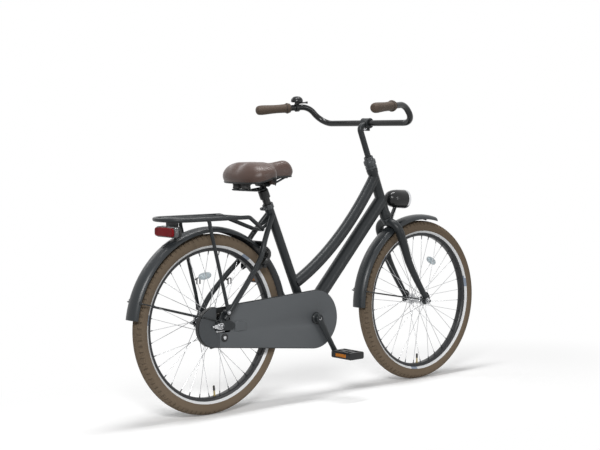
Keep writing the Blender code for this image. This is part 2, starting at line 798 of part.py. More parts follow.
def make_pedal(label, side, crank):
    inner = CRANK_ARM_INNER + CRANK_ARM_THICKNESS + PEDAL_CLEARANCE
    outer = inner + PEDAL_WIDTH
    place = pedal_place(side)
    frame = make_empty("pedal_axis_" + label, place, parent=crank)
    head = CRANK_ARM_INNER + CRANK_ARM_THICKNESS + GAP
    spindle = rod(place + LEFT * side * CRANK_ARM_INNER, place + LEFT * side * (outer - 0.006),
                  PEDAL_SPINDLE_RADIUS, 8)
    collar = rod(place + LEFT * side * head, place + LEFT * side * (inner - GAP), 0.0075, 6)
    settle("pedal_spindle_" + label, union(spindle, collar), "steel", crank)
    half = PEDAL_LENGTH / 2
    tall = PEDAL_HEIGHT / 2
    rail = 0.011
    body = plate([(-half + 0.004, -tall), (half - 0.004, -tall), (half, -tall * 0.5),
                  (half, tall * 0.5), (half - 0.004, tall), (-half + 0.004, tall),
                  (-half, tall * 0.5), (-half, -tall * 0.5)],
                 side * inner, side * outer)
    holes = []
    hub = 0.009
    for low, high in ((-half + rail, -hub), (hub, half - rail)):
        y = sorted((side * (inner + 0.008), side * (outer - 0.008)))
        middle = (y[0] + y[1]) / 2
        holes.append(block((low, y[0], -0.1), (high, middle - 0.004, 0.1)))
        holes.append(block((low, middle + 0.004, -0.1), (high, y[1], 0.1)))
    holes.append(rod((0, side * (inner - 0.01), 0), (0, side * (outer - 0.005), 0),
                     bore_for(PEDAL_SPINDLE_RADIUS, 8), 8))
    lamp_half = PEDAL_WIDTH * 0.36
    centre = side * (inner + outer) / 2
    deep = 0.003
    for end in (-1, 1):
        face = end * half
        low = (min(face, face - end * deep) - (0.01 if end < 0 else 0), centre - lamp_half, -0.0075)
        high = (max(face, face - end * deep) + (0.01 if end > 0 else 0), centre + lamp_half, 0.0075)
        holes.append(block(low, high))
        word = "front" if end > 0 else "rear"
        inset = face - end * (deep - GAP)
        lens = block((min(face, inset), centre - lamp_half + GAP, -0.0075 + GAP),
                     (max(face, inset), centre + lamp_half - GAP, 0.0075 - GAP))
        finish("pedal_reflector_" + word + "_" + label, lens, "amber", frame)
    finish("pedal_" + label, cut(body, *holes), "black_plastic", frame)


# Frame, in the bicycle's own axes
def seat_point(along, back=0.0, left=0.0):
    return BOTTOM_BRACKET + SEAT_UP * along + SEAT_BACK * back + LEFT * left


def top_tube_path():
    head = steering_point(0, 0, HEAD_TUBE_END - TOP_TUBE_DROP)
    seat = seat_point(TOP_TUBE_ON_SEAT_TUBE)
    steep = math.radians(TOP_TUBE_STEEP)
    flat = math.radians(TOP_TUBE_FLAT)
    near_head = head - Vector((math.cos(steep), 0, math.sin(steep))) * TOP_TUBE_BOW
    near_seat = seat + Vector((math.cos(flat), 0, math.sin(flat))) * TOP_TUBE_BOW * 0.8
    return bezier(head, near_head, near_seat, seat, 10)


def stay_path(side):
    # From the carrier eye up around the mudguard to the side of the seat tube.
    places = [
        (0.014, DROPOUT_INNER + 0.0105, 0.022),
        (0.0575, DROPOUT_INNER + 0.017, 0.080),
        (0.122, 0.066, 0.149),
        (0.185, 0.050, 0.216),
        (0.214, 0.040, 0.279),
    ]
    path = [REAR_AXLE + Vector((x, side * y, z)) for x, y, z in places]
    path.append(seat_point(SEAT_TUBE_LENGTH - 0.038, 0.004, side * 0.014))
    return smooth_path(path, 2)


def chainstay_path(side):
    start = BOTTOM_BRACKET + Vector((-0.006, side * 0.020, -0.006))
    end = REAR_AXLE + Vector((0.044, side * (DROPOUT_INNER - 0.0035), -0.004))
    middle = start.lerp(end, 0.20)
    middle.y = side * 0.029
    knee = start.lerp(end, 0.42)
    knee.y = side * (TYRE_WIDTH / 2 + CHAINSTAY_RADIUS + 0.0030)
    late = start.lerp(end, 0.84)
    late.y = side * (DROPOUT_INNER - 0.0105)
    return smooth_path([start, middle, knee, late, end], 2)


def dropout_outline():
    x = REAR_AXLE.x
    z = REAR_AXLE.z
    return [(x + a, z + b) for a, b in (
        (-0.018, -0.013), (0.040, -0.017), (0.058, -0.012), (0.060, 0.004), (0.040, 0.016),
        (0.032, 0.030), (0.026, 0.046), (0.014, 0.049), (0.003, 0.044), (-0.004, 0.026),
        (-0.018, 0.014))]


def guard_bridge():
    # A plate between the stays, which the rear mudguard is bolted up to.
    low = GUARD_RADIUS + GAP
    turn = Matrix.Rotation(math.radians(90 - BRIDGE_ANGLE), 4, "Y")
    bridge = block((-0.015, -BRIDGE_HALF_WIDTH, low), (0.015, BRIDGE_HALF_WIDTH, low + BRIDGE_DEPTH))
    return [moved(bridge, Matrix.Translation(REAR_AXLE) @ turn)]


def carrier_braces():
    # Two short tubes reach back from the seat tube to the bar that holds the carrier's front.
    mount = CARRIER_MOUNT
    braces = [rod(mount - LEFT * 0.027, mount + LEFT * 0.027, BRACE_RADIUS, 8)]
    for side in (-1, 1):
        start = seat_point(SEAT_TUBE_LENGTH - 0.055, 0, side * 0.008)
        braces.append(rod(start, mount + LEFT * side * 0.018, BRACE_RADIUS * 0.8, 6))
    return braces


def make_frame(frame):
    down = rod(BOTTOM_BRACKET, steering_point(0, 0, HEAD_TUBE_START + DOWN_TUBE_RISE),
               DOWN_TUBE_RADIUS, 12)
    head = rod(steering_point(0, 0, HEAD_TUBE_START), steering_point(0, 0, HEAD_TUBE_END),
               HEAD_TUBE_RADIUS, TUBE_FACETS)
    seat = rod(BOTTOM_BRACKET, SEAT_TOP, SEAT_TUBE_RADIUS, TUBE_FACETS)
    top = sweep(top_tube_path(), TOP_TUBE_RADIUS, 10)
    shell = rod(BOTTOM_BRACKET - LEFT * SHELL_HALF_WIDTH, BOTTOM_BRACKET + LEFT * SHELL_HALF_WIDTH,
                SHELL_RADIUS, TUBE_FACETS)
    parts = [head, seat, top, shell]
    for side in (-1, 1):
        near, far = sorted((side * DROPOUT_INNER, side * (DROPOUT_INNER + DROPOUT_THICKNESS)))
        parts.append(plate(dropout_outline(), near, far))
        parts.append(sweep(stay_path(side), SEAT_STAY_RADIUS, 7))
        parts.append(sweep(chainstay_path(side), CHAINSTAY_RADIUS, STAY_FACETS))
        eye = REAR_AXLE + CARRIER_EYE
        parts.append(rod(eye + LEFT * side * (DROPOUT_INNER + DROPOUT_THICKNESS / 2),
                         eye + LEFT * side * CARRIER_EYE_OUT, 0.008, 8))
    parts.extend(guard_bridge())
    parts.extend(carrier_braces())
    pivot = kickstand_pivot()
    low = pivot + Vector((-0.012, -0.010 - pivot.y, KICKSTAND_BOSS_RADIUS - 0.002))
    parts.append(block(low, (pivot.x + 0.016, 0.026, pivot.z + 0.026)))
    parts.append(rod(pivot - kickstand_axis() * 0.012, pivot + kickstand_axis() * 0.012,
                     KICKSTAND_BOSS_RADIUS, 10))
    body = union(down, *parts)
    head_span = HEAD_TUBE_LENGTH + 0.1
    holes = [
        rod(steering_point(0, 0, HEAD_TUBE_START - 0.05),
            steering_point(0, 0, HEAD_TUBE_START - 0.05 + head_span), HEAD_TUBE_BORE, TUBE_FACETS),
        rod(BOTTOM_BRACKET - LEFT * 0.1, BOTTOM_BRACKET + LEFT * 0.1, SHELL_BORE, TUBE_FACETS),
        rod(seat_point(SEAT_BORE_START), seat_point(SEAT_TUBE_LENGTH + 0.05),
            SEATPOST_RADIUS + GAP, TUBE_FACETS),
        block(REAR_AXLE + Vector((-0.05, -0.1, -AXLE_RADIUS - GAP)),
              REAR_AXLE + Vector((AXLE_RADIUS + 0.001, 0.1, AXLE_RADIUS + GAP))),
    ]
    body = cut(body, *holes)
    return finish("frame", body, "black_paint", frame)


def make_seat_collar(frame):
    inner = SEAT_TUBE_RADIUS + GAP
    outer = inner + 0.003
    low = SEAT_TUBE_LENGTH - 0.016
    high = SEAT_TUBE_LENGTH + 0.001
    ring = rod(seat_point(low), seat_point(high), outer, TUBE_FACETS)
    ears = rod(seat_point((low + high) / 2, outer + 0.004, -0.012),
               seat_point((low + high) / 2, outer + 0.004, 0.012), 0.0058, 8, side=UP)
    bolt = rod(seat_point((low + high) / 2, outer + 0.004, -0.017),
               seat_point((low + high) / 2, outer + 0.004, 0.015), 0.0042, 6, side=UP)
    bore = rod(seat_point(low - 0.02), seat_point(high + 0.02), inner, TUBE_FACETS)
    ring = union(ring, ears, bolt)
    return finish("seat_collar", cut(ring, bore), "steel", frame)


def make_headset(frame, steering):
    outer = HEAD_TUBE_RADIUS + 0.0025
    inner = bore_for(STEERER_RADIUS, TUBE_FACETS)
    press = HEAD_TUBE_BORE * math.cos(math.pi / TUBE_FACETS) - GAP
    depth = 0.010
    lower = turned([
        (inner, -CUP_HEIGHT), (outer * 0.9, -CUP_HEIGHT), (outer, -GAP),
        (press, -GAP), (press, depth), (inner, depth)], TUBE_FACETS, ring=True)
    upper = turned([
        (inner, -depth), (press, -depth), (press, GAP), (outer, GAP), (outer * 0.9, CUP_HEIGHT),
        (inner, CUP_HEIGHT)], TUBE_FACETS, ring=True)
    turn = steering_turn()
    moved(lower, Matrix.Translation(steering_point(0, 0, HEAD_TUBE_START)) @ turn)
    moved(upper, Matrix.Translation(steering_point(0, 0, HEAD_TUBE_END)) @ turn)
    finish("headset_lower_cup", lower, "black_paint", frame)
    finish("headset_upper_cup", upper, "black_paint", frame)
    start = HEAD_TUBE_END + CUP_HEIGHT + GAP
    nut_bore = bore_for(STEERER_RADIUS, TUBE_FACETS)
    cap = QUILL_RADIUS + 0.0062
    cap_bore = bore_for(QUILL_RADIUS, TUBE_FACETS)
    nut = turned([
        (nut_bore, start), (outer, start), (outer - 0.002, start + 0.026), (outer + 0.001, start + 0.034),
        (cap, start + LOCKNUT_HEIGHT), (cap_bore, start + LOCKNUT_HEIGHT),
        (cap_bore, start + STEERER_IN_NUT + 0.003), (nut_bore, start + STEERER_IN_NUT + 0.003)],
        TUBE_FACETS, ring=True)
    finish("headset_locknut", nut, "black_plastic", steering)


def steering_turn():
    return Matrix((STEER_AHEAD, LEFT, STEER_UP)).transposed().to_4x4()


def make_bottom_bracket(frame):
    outer = SHELL_BORE - GAP
    inner = bore_for(CRANK_AXLE_RADIUS, TUBE_FACETS)
    end = SHELL_HALF_WIDTH + 0.004
    profile = mirror_profile([(inner, end), (outer - 0.002, end), (outer, SHELL_HALF_WIDTH)])
    turn = TURN_TO_Y @ Matrix.Rotation(math.pi / TUBE_FACETS, 4, "Z")
    cartridge = turned(profile, TUBE_FACETS, turn, ring=True)
    moved(cartridge, Matrix.Translation(BOTTOM_BRACKET))
    return finish("bottom_bracket", cartridge, "steel", frame)


# Chaincase: a tray that opens towards the wheel
def case_outline(inset, count=12):
    front = BOTTOM_BRACKET + Vector((0, 0, -0.0045))
    rear = REAR_AXLE + Vector((-0.020, 0, -0.004))
    big = CASE_FRONT_RADIUS - inset
    small = CASE_REAR_RADIUS - inset
    gap = front - rear
    toward = math.atan2(gap.z, gap.x)
    spread = math.asin((big - small) / gap.length)
    upper = toward + math.pi / 2 + spread
    lower = toward - math.pi / 2 - spread
    outline = []
    for i in range(count + 1):
        angle = lower + (upper - lower) * i / count
        outline.append((front.x + big * math.cos(angle), front.z + big * math.sin(angle)))
    rear_count = count // 2 + 2
    for i in range(rear_count + 1):
        angle = upper + (lower + 2 * math.pi - upper) * i / rear_count
        outline.append((rear.x + small * math.cos(angle), rear.z + small * math.sin(angle)))
    return outline


def make_chaincase(frame):
    face = -CASE_INNER - CASE_WALL
    open_side = face + CASE_DEPTH
    seam = REAR_AXLE.x + CASE_SEAM_AHEAD
    window = REAR_AXLE + Vector((-0.040, 0, -0.024))
    window_end = REAR_AXLE + Vector((0.066, 0, 0.2))
    stay_window = REAR_AXLE + Vector((0.110, 0, 0.008))
    boss = BOTTOM_BRACKET
    for name, start, end in (("chaincase", seam + GAP, 1.0), ("chaincase_tail", -1.0, seam)):
        tray = plate(case_outline(0), face, open_side)
        lip = plate(case_outline(-CASE_RIM), face + 0.003, face + 0.009)
        tray = union(tray, lip)
        hollow = plate(case_outline(CASE_WALL), -CASE_INNER, open_side + 0.02)
        holes = [hollow]
        holes.append(block((-2, -1, -1), (start, 1, 2)) if start > -1 else
                     block((end, -1, -1), (2, 1, 2)))
        holes.append(block((window.x, -0.2, window.z), (window_end.x, 0, window_end.z)))
        holes.append(block((0.05, -0.2, window.z), (stay_window.x, 0, stay_window.z)))
        holes.append(rod((boss.x, -0.2, boss.z), (boss.x, 0.1, boss.z), CASE_CRANK_HOLE, 14))
        finish(name, cut(tray, *holes), "dark_plastic", frame)


# Mudguards: a rolled sheet that follows the tyre
def guard_section(half_width, radius, depth, count=4):
    section = []
    for i in range(count + 1):
        angle = math.pi * (i / count - 0.5)
        height = half_width * math.sin(angle)
        section.append((radius - depth * (1 - math.cos(angle)), height))
    return section


def make_guard(start, end, step_degrees=9.0):
    outer = guard_section(GUARD_HALF_WIDTH, GUARD_RADIUS, GUARD_DEPTH)
    inner = guard_section(GUARD_HALF_WIDTH - GUARD_SHEET, GUARD_RADIUS - GUARD_SHEET,
                          GUARD_DEPTH - GUARD_SHEET)
    profile = outer + inner[::-1]
    steps = round((end - start) / step_degrees)
    return spun(profile, -end, -start, steps, TURN_TO_Y)


def settle(name, thing, material, frame, crease=32.0):
    # The piece is modelled where it stands, and then given its joint's own axes.
    bpy.context.view_layer.update()
    moved(thing, frame.matrix_world.inverted())
    return finish(name, thing, material, frame, crease)


# Steering assembly
def blade_ahead(along):
    share = max(0.0, 1 - along / BLADE_BEND_START)
    return RAKE * share ** 1.25


def make_fork(steering):
    levels = [0.020, 0.050, 0.080, 0.115, BLADE_BEND_START, 0.240]
    crown = rounded_path(
        [(0, -BLADE_SPACING, levels[-1]), (0, -BLADE_SPACING, CROWN_LEVEL),
         (0, BLADE_SPACING, CROWN_LEVEL), (0, BLADE_SPACING, levels[-1])],
        [CROWN_BEND, CROWN_BEND], 4)
    right = [(blade_ahead(level), -BLADE_SPACING, level) for level in levels[:-1]]
    left = [(blade_ahead(level), BLADE_SPACING, level) for level in reversed(levels[:-1])]
    path = [steering_point(*point) for point in right + list(crown) + left]
    growth = CROWN_TUBE_RADIUS - BLADE_END_RADIUS
    taper = [BLADE_END_RADIUS + growth * min(1.0, i / 5) for i in range(len(right))]
    radii = taper + [CROWN_TUBE_RADIUS] * len(crown) + taper[::-1]
    blades = sweep(path, radii, 8)
    steerer_top = HEAD_TUBE_END + CUP_HEIGHT + STEERER_IN_NUT
    race_top = HEAD_TUBE_START - CUP_HEIGHT - GAP
    race_base = CROWN_LEVEL - 0.003
    steerer = [(race_base, HEAD_TUBE_RADIUS * 0.9), (race_top, HEAD_TUBE_RADIUS),
               (race_top + 0.0001, STEERER_RADIUS), (steerer_top, STEERER_RADIUS)]
    parts = [sweep([steering_point(0, 0, level) for level, radius in steerer],
                   [radius for level, radius in steerer], TUBE_FACETS, side=STEER_AHEAD)]
    for side in (-1, 1):
        near, far = sorted((side * FRONT_DROPOUT_INNER,
                            side * (FRONT_DROPOUT_INNER + FRONT_DROPOUT_THICKNESS)))
        outline = [(FRONT_AXLE.x + x, FRONT_AXLE.z + z) for x, z in (
            (-0.026, 0.000), (-0.010, -0.012), (0.008, -0.012), (0.013, -0.002),
            (0.010, 0.020), (-0.004, 0.034), (-0.020, 0.034), (-0.018, 0.014), (-0.026, 0.010))]
        parts.append(plate(outline, near, far))
    fork = union(blades, *parts)
    slot = AXLE_RADIUS + GAP
    holes = [
        rod(steering_point(0, 0, CROWN_LEVEL + 0.02), steering_point(0, 0, steerer_top + 0.02),
            STEERER_BORE, TUBE_FACETS),
        block(FRONT_AXLE + Vector((-slot, -0.1, -0.05)), FRONT_AXLE + Vector((slot, 0.1, slot))),
    ]
    return settle("fork", cut(fork, *holes), "black_paint", steering)


def make_front_axle(steering):
    axle = make_axle(FRONT_AXLE, FRONT_DROPOUT_INNER, FRONT_DROPOUT_THICKNESS, 0)
    return settle("front_axle", axle, "steel", steering)


def make_axle(centre, inner, thickness, extra):
    # Threaded rod with a cone inside each dropout, and a washer and domed nut outside.
    face = inner + thickness + GAP + extra
    end = face + 0.0125
    half = [
        (end, 0.0035),
        (face + 0.0090, 0.0092),
        (face + 0.0018, 0.0092),
        (face + 0.0017, 0.0112),
        (face, 0.0112),
        (face - 0.0001, AXLE_RADIUS),
        (inner - GAP + 0.0001, AXLE_RADIUS),
        (inner - GAP, 0.0095),
        (inner - CONE_LENGTH, 0.0095),
        (inner - CONE_LENGTH - 0.0001, AXLE_RADIUS),
    ]
    stations = [(-out, radius) for out, radius in half]
    stations += [(out, radius) for out, radius in reversed(half)]
    points = [centre + LEFT * out for out, radius in stations]
    return sweep(points, [radius for out, radius in stations], 6)


def make_wire(centre, degrees, foot, bend=0.008):
    radius = GUARD_RADIUS - GUARD_DEPTH * 0.6
    side = GUARD_HALF_WIDTH + 0.010
    turn = polar(centre, radius, degrees)
    corners = [centre + Vector((foot[0], -foot[1], foot[2])), turn - LEFT * side,
               turn + LEFT * side, centre + Vector(foot)]
    wire = sweep(rounded_path(corners, [bend, bend], 2), WIRE_RADIUS, 6, side=UP)
    eyes = []
    for sign in (-1, 1):
        eye = centre + Vector((foot[0], sign * foot[1], foot[2]))
        eyes.append(rod(eye - LEFT * sign * (WIRE_RADIUS + 2 * GAP), eye + LEFT * sign * WIRE_RADIUS * 1.6,
                        0.0050, 8))
    wire = union(wire, *eyes)
    hole = rod(turn - LEFT * side, turn + LEFT * side, WIRE_RADIUS + GAP, 6, side=UP)
    return wire, hole


def make_front_guard_and_stay(steering):
    foot = (FRONT_EYE_X, FRONT_DROPOUT_INNER + FRONT_DROPOUT_THICKNESS + 3 * GAP + WIRE_RADIUS,
            FRONT_EYE_Z)
    wire, hole = make_wire(FRONT_AXLE, FRONT_STAY_ANGLE, foot)
    guard = moved(make_guard(FRONT_GUARD_START, FRONT_GUARD_END), Matrix.Translation(FRONT_AXLE))
    # A lug at the top is bolted to the crown.
    lug_angle = math.degrees(math.atan2(*((steering_point(0, 0, CROWN_LEVEL) - FRONT_AXLE).zx)))
    start = polar(FRONT_AXLE, GUARD_RADIUS - 0.001, lug_angle)
    end = polar(FRONT_AXLE, crown_underside() - GAP, lug_angle)
    lug = rod(start, end, 0.007, 8)
    guard = union(cut(guard, hole), lug)
    settle("front_mudguard", guard, "black_paint", steering)
    settle("front_mudguard_stay", wire, "black_paint", steering)


def crown_underside():
    crown = steering_point(0, 0, CROWN_LEVEL) - FRONT_AXLE
    return crown.length - CROWN_TUBE_RADIUS


def make_headlamp(steering):
    tail = steering_point(LAMP_AHEAD, 0, LAMP_LEVEL)
    aim = Vector((math.cos(math.radians(LAMP_DIP)), 0, -math.sin(math.radians(LAMP_DIP))))
    turn = aim.to_track_quat("Z", "Y").to_matrix().to_4x4()
    place = Matrix.Translation(tail) @ turn
    wide = LAMP_RADIUS
    long = LAMP_LENGTH
    shell = turned([
        (0, 0), (0.62 * wide, 0.07 * long), (0.84 * wide, 0.22 * long),
        (0.96 * wide, 0.48 * long), (0.97 * wide, 0.78 * long), (wide, 0.80 * long),
        (wide, 0.92 * long), (0.92 * wide, 0.92 * long), (0.92 * wide, 0.85 * long),
        (0.84 * wide, 0.85 * long), (0.30 * wide, 0.64 * long), (0, 0.62 * long)], LAMP_FACETS, place)
    lens = turned([
        (0, 0.85 * long + GAP), (0.92 * wide - GAP, 0.85 * long + GAP), (0.92 * wide - GAP, 0.92 * long),
        (0.62 * wide, 0.965 * long), (0, 0.99 * long)], LAMP_FACETS, place)
    foot = steering_point(HEAD_TUBE_RADIUS * 0.9 + 0.0046, 0, CROWN_LEVEL + 0.002)
    knee = foot + Vector((0.008, 0, 0.020))
    under = tail + aim * 0.36 * long - UP * wide * 0.80
    bracket = sweep([foot - UP * 0.008, foot, knee, under], (0.010, 0.0018), 8)
    boss = rod(under - UP * 0.008 - LEFT * 0.008, under - UP * 0.008 + LEFT * 0.008, 0.0075, 8)
    bolt = rod(foot - STEER_AHEAD * (0.0042 - GAP), foot + STEER_AHEAD * 0.005, 0.0055, 6)
    shell = union(shell, bracket, boss, bolt)
    settle("headlamp_shell", shell, "black_plastic", steering)
    settle("headlamp_lens", lens, "clear_lens", steering)


def make_stem(stem_frame):
    start = steering_point(0, 0, QUILL_END)
    bar = steering_point(BAR_AHEAD, 0, BAR_LEVEL)
    bend = steering_point(0, 0, BAR_LEVEL)
    column = sweep(rounded_path([start, bend, bar], [0.016], 2), QUILL_RADIUS, TUBE_FACETS)
    clamp = rod(bar - LEFT * CLAMP_HALF_WIDTH, bar + LEFT * CLAMP_HALF_WIDTH, CLAMP_RADIUS, 12)
    lug = block(bar + Vector((-0.007, -0.011, -CLAMP_RADIUS - 0.010)), bar + Vector((0.007, 0.011, 0)))
    screw = rod(bar + Vector((-0.011, 0, -CLAMP_RADIUS - 0.004)),
                bar + Vector((0.011, 0, -CLAMP_RADIUS - 0.004)), 0.0048, 8)
    stem = union(column, clamp, lug, screw)
    bore = rod(bar - LEFT * 0.1, bar + LEFT * 0.1, bore_for(BAR_RADIUS, 10), 10)
    return settle("stem", cut(stem, bore), "black_paint", stem_frame)


def bar_corners():
    bar = steering_point(BAR_AHEAD, 0, BAR_LEVEL)
    corner = Vector((0, BAR_CORNER_OUT, 0))
    rise = Vector((-BAR_SWEEP_START, BAR_CORNER_OUT + 0.012, BAR_RISE))
    end = Vector((-BAR_END_BACK, BAR_END_OUT, BAR_RISE - BAR_END_DROP))
    left = [bar + corner, bar + rise, bar + end]
    right = [Vector((point.x, -point.y, point.z)) for point in reversed(left)]
    return right, left


def grip_line(side):
    right, left = bar_corners()
    points = left if side > 0 else right[::-1]
    return points[2], (points[1] - points[2]).normalized()


def make_handlebar(stem_frame):
    right, left = bar_corners()
    bends = [BAR_END_BEND, BAR_CORNER_BEND, BAR_CORNER_BEND, BAR_END_BEND]
    path = rounded_path(right + left, bends, 3)
    bar = sweep(path, BAR_RADIUS, 8)
    settle("handlebar", bar, "black_paint", stem_frame)
    for label, side in (("right", -1), ("left", 1)):
        end, inward = grip_line(side)
        outer_end = end - inward * GRIP_CAP
        shares = (0, 0.05, 0.30, 0.55, 0.80, 0.94, 0.95, 1)
        swell = (0.86, 1.0, 1.06, 0.98, 1.05, 1.0, GRIP_FLANGE, GRIP_FLANGE)
        points = [outer_end + inward * GRIP_LENGTH * share for share in shares]
        grip = sweep(points, [GRIP_RADIUS * size for size in swell], 10)
        hole = rod(end - inward * GAP, end + inward * (GRIP_LENGTH + 0.02),
                   bore_for(BAR_RADIUS, 10), 10)
        settle("grip_" + label, cut(grip, hole), "grip_brown", stem_frame)


def make_bell(stem_frame):
    end, inward = grip_line(1)
    middle = end + inward * BELL_ALONG
    clamp = rod(middle - inward * 0.007, middle + inward * 0.007, BAR_RADIUS + 0.0045, 10)
    top = middle + UP * (BAR_RADIUS + 0.010)
    post = rod(middle + UP * BAR_RADIUS, top + UP * 0.004, 0.006, 8)
    dome = turned([
        (0, 0), (BELL_RADIUS * 0.94, 0), (BELL_RADIUS, 0.004), (BELL_RADIUS * 0.93, 0.011),
        (BELL_RADIUS * 0.66, 0.018), (BELL_RADIUS * 0.25, 0.0215), (0, 0.022)], 10,
        Matrix.Translation(top))
    bell = union(clamp, post, dome)
    bore = rod(middle - inward * 0.03, middle + inward * 0.03, bore_for(BAR_RADIUS, 10), 10)
    settle("bell", cut(bell, bore), "black_plastic", stem_frame)
    pivot = bell_pivot()
    frame = make_empty("bell_lever_axis", pivot, parent=stem_frame)
    lever = sweep([pivot - UP * 0.0035, pivot + UP * 0.0035], 0.0045, 8)
    tip = pivot + inward * 0.022 - LEFT * 0.012
    pad = rod(tip - UP * 0.004, tip + UP * 0.004, 0.0042, 8)
    lever = union(lever, rod(pivot, tip, (0.0022, 0.0030), 8), pad)
    settle("bell_lever", lever, "black_plastic", frame)


def bell_pivot():
    end, inward = grip_line(1)
    middle = end + inward * BELL_ALONG
    return middle + UP * (BAR_RADIUS + 0.0055) + inward * 0.0108


# Rear end
def make_rear_axle(frame):
    axle = make_axle(REAR_AXLE, DROPOUT_INNER, DROPOUT_THICKNESS, TENSIONER_THICKNESS + GAP)
    return settle("rear_axle", axle, "steel", frame)


def make_tensioner(name, side, frame):
    near = DROPOUT_INNER + DROPOUT_THICKNESS + GAP
    far = near + TENSIONER_THICKNESS
    low, high = sorted((side * near, side * far))
    x = REAR_AXLE.x
    z = REAR_AXLE.z
    outline = [(x + a, z + b) for a, b in (
        (-0.026, -0.004), (-0.008, -0.0105), (0.006, -0.0105), (0.0105, -0.004), (0.0105, 0.004),
        (0.006, 0.0105), (-0.006, 0.0105), (-0.026, 0.004))]
    body = plate(outline, low, high)
    inset, outset = sorted((side * DROPOUT_INNER, side * far))
    hook = block((x - 0.0265, inset, z - 0.006), (x - 0.0185, outset, z + 0.006))
    screw = rod(Vector((x - 0.034, (inset + outset) / 2, z)), Vector((x - 0.022, (inset + outset) / 2, z)),
                0.0038, 6)
    body = union(body, hook, screw)
    bore = rod(REAR_AXLE - LEFT * 0.1, REAR_AXLE + LEFT * 0.1, bore_for(AXLE_RADIUS, 8), 8)
    return settle(name, cut(body, bore), "steel", frame)


def make_brake_arm(frame):
    # The coaster brake's reaction arm, clipped to the left chainstay.
    near = HUB_HALF_LENGTH + GAP
    far = near + BRAKE_ARM_THICKNESS
    x = REAR_AXLE.x
    z = REAR_AXLE.z
    outline = disc_outline(x, z, 0.021, 12, math.radians(10))
    eye = plate(outline, near, far)
    arm = plate([(x, z - 0.019), (x + 0.150, z - 0.031), (x + 0.156, z - 0.026), (x + 0.152, z - 0.018),
                 (x + 0.006, z + 0.008)], near, far)
    path = chainstay_path(1)
    index = BRAKE_CLIP_INDEX
    centre = path[index]
    along = (path[index + 1] - path[index - 1]).normalized()
    clip = rod(centre - along * 0.006, centre + along * 0.006, CHAINSTAY_RADIUS + 0.0028, 10)
    tongue = block((centre.x - 0.005, min(near, centre.y), z - 0.030), (centre.x + 0.005, far, centre.z))
    body = union(eye, arm, clip, tongue)
    hole = sweep(path[index - 2:index + 3], CHAINSTAY_RADIUS + 2 * GAP, STAY_FACETS)
    bore = rod(REAR_AXLE - LEFT * 0.1, REAR_AXLE + LEFT * 0.1, bore_for(AXLE_RADIUS, 8), 8)
    return settle("brake_arm", cut(body, hole, bore), "steel", frame)


def make_rear_guard_and_stay(frame):
    foot = (REAR_EYE_X, DROPOUT_INNER + DROPOUT_THICKNESS + 3 * GAP + WIRE_RADIUS, REAR_EYE_Z)
    wire, hole = make_wire(REAR_AXLE, REAR_STAY_ANGLE, foot)
    guard = moved(make_guard(REAR_GUARD_START, REAR_GUARD_END), Matrix.Translation(REAR_AXLE))
    settle("rear_mudguard", cut(guard, hole), "black_paint", frame)
    settle("rear_mudguard_stay", wire, "black_paint", frame)


def make_carrier(frame):
    wide = CARRIER_HALF_WIDTH
    high = CARRIER_HEIGHT
    tube = CARRIER_TUBE_RADIUS
    mount = CARRIER_MOUNT
    bend = Vector((CARRIER_FRONT, -wide, high))
    foot = Vector((mount.x, -0.018, mount.z))
    stop = foot + (bend - foot).normalized() * (BRACE_RADIUS * 1.8)
    corners = [stop, bend, Vector((CARRIER_REAR, -wide, high))]
    corners += [Vector((point.x, -point.y, point.z)) for point in reversed(corners)]
    loop = sweep(rounded_path(corners, [0.030, CARRIER_REAR_BEND, CARRIER_REAR_BEND, 0.030], 3),
                 tube, 6, side=UP)
    parts = []
    front_bar = CARRIER_FRONT - 0.020
    rear_bar = CARRIER_REAR + 0.060
    for x in (front_bar, rear_bar):
        parts.append(rod((x, -wide, high), (x, wide, high), tube * 0.75, 6, side=UP))
    for y in (-0.030, 0.030):
        parts.append(rod((front_bar, y, high), (CARRIER_REAR, y * 0.9, high), tube * 0.70, 6, side=UP))
    for side in (-1, 1):
        eye = REAR_AXLE + CARRIER_EYE
        out = side * (CARRIER_EYE_OUT + GAP + 0.0016)
        top = Vector((LEG_TOP_X, side * wide, high))
        path = [top, Vector((LEG_TOP_X + 0.006, side * (wide + 0.002), high - 0.028)),
                Vector((eye.x - 0.012, out + side * 0.0045, eye.z + 0.050)),
                Vector((eye.x - 0.004, out, eye.z + 0.016)), Vector((eye.x, out, eye.z)),
                Vector((eye.x + 0.002, out, eye.z - 0.009))]
        leg = CARRIER_LEG_RADIUS
        radii = [leg, leg, leg, (0.0016, 0.0090), (0.0016, 0.0090), (0.0016, 0.0060)]
        parts.append(sweep(path, radii, 6))
        parts.append(rod(Vector((eye.x, out, eye.z)), Vector((eye.x, out + side * 0.0055, eye.z)),
                         0.0062, 6))
    # A pillar stands on the mudguard under the rear bar.
    lean = math.degrees(math.acos((rear_bar - REAR_AXLE.x) / math.hypot(rear_bar, high - AXLE_HEIGHT)))
    foot_low = polar(REAR_AXLE, GUARD_RADIUS + GAP, lean)
    foot_high = polar(REAR_AXLE, math.hypot(rear_bar, high - AXLE_HEIGHT), lean)
    parts.append(rod(foot_low, foot_high, 0.005, 6))
    parts.append(rod(foot_low, polar(REAR_AXLE, GUARD_RADIUS + GAP + 0.003, lean), 0.011, 8))
    # The lamp plate hangs from the two inner bars.
    plate_x = LAMP_PLATE_X
    parts.append(block((plate_x, -0.033, high - 0.052), (plate_x + 0.003, 0.033, high)))
    body = union(loop, *parts)
    return settle("rear_carrier", body, "black_paint", frame)


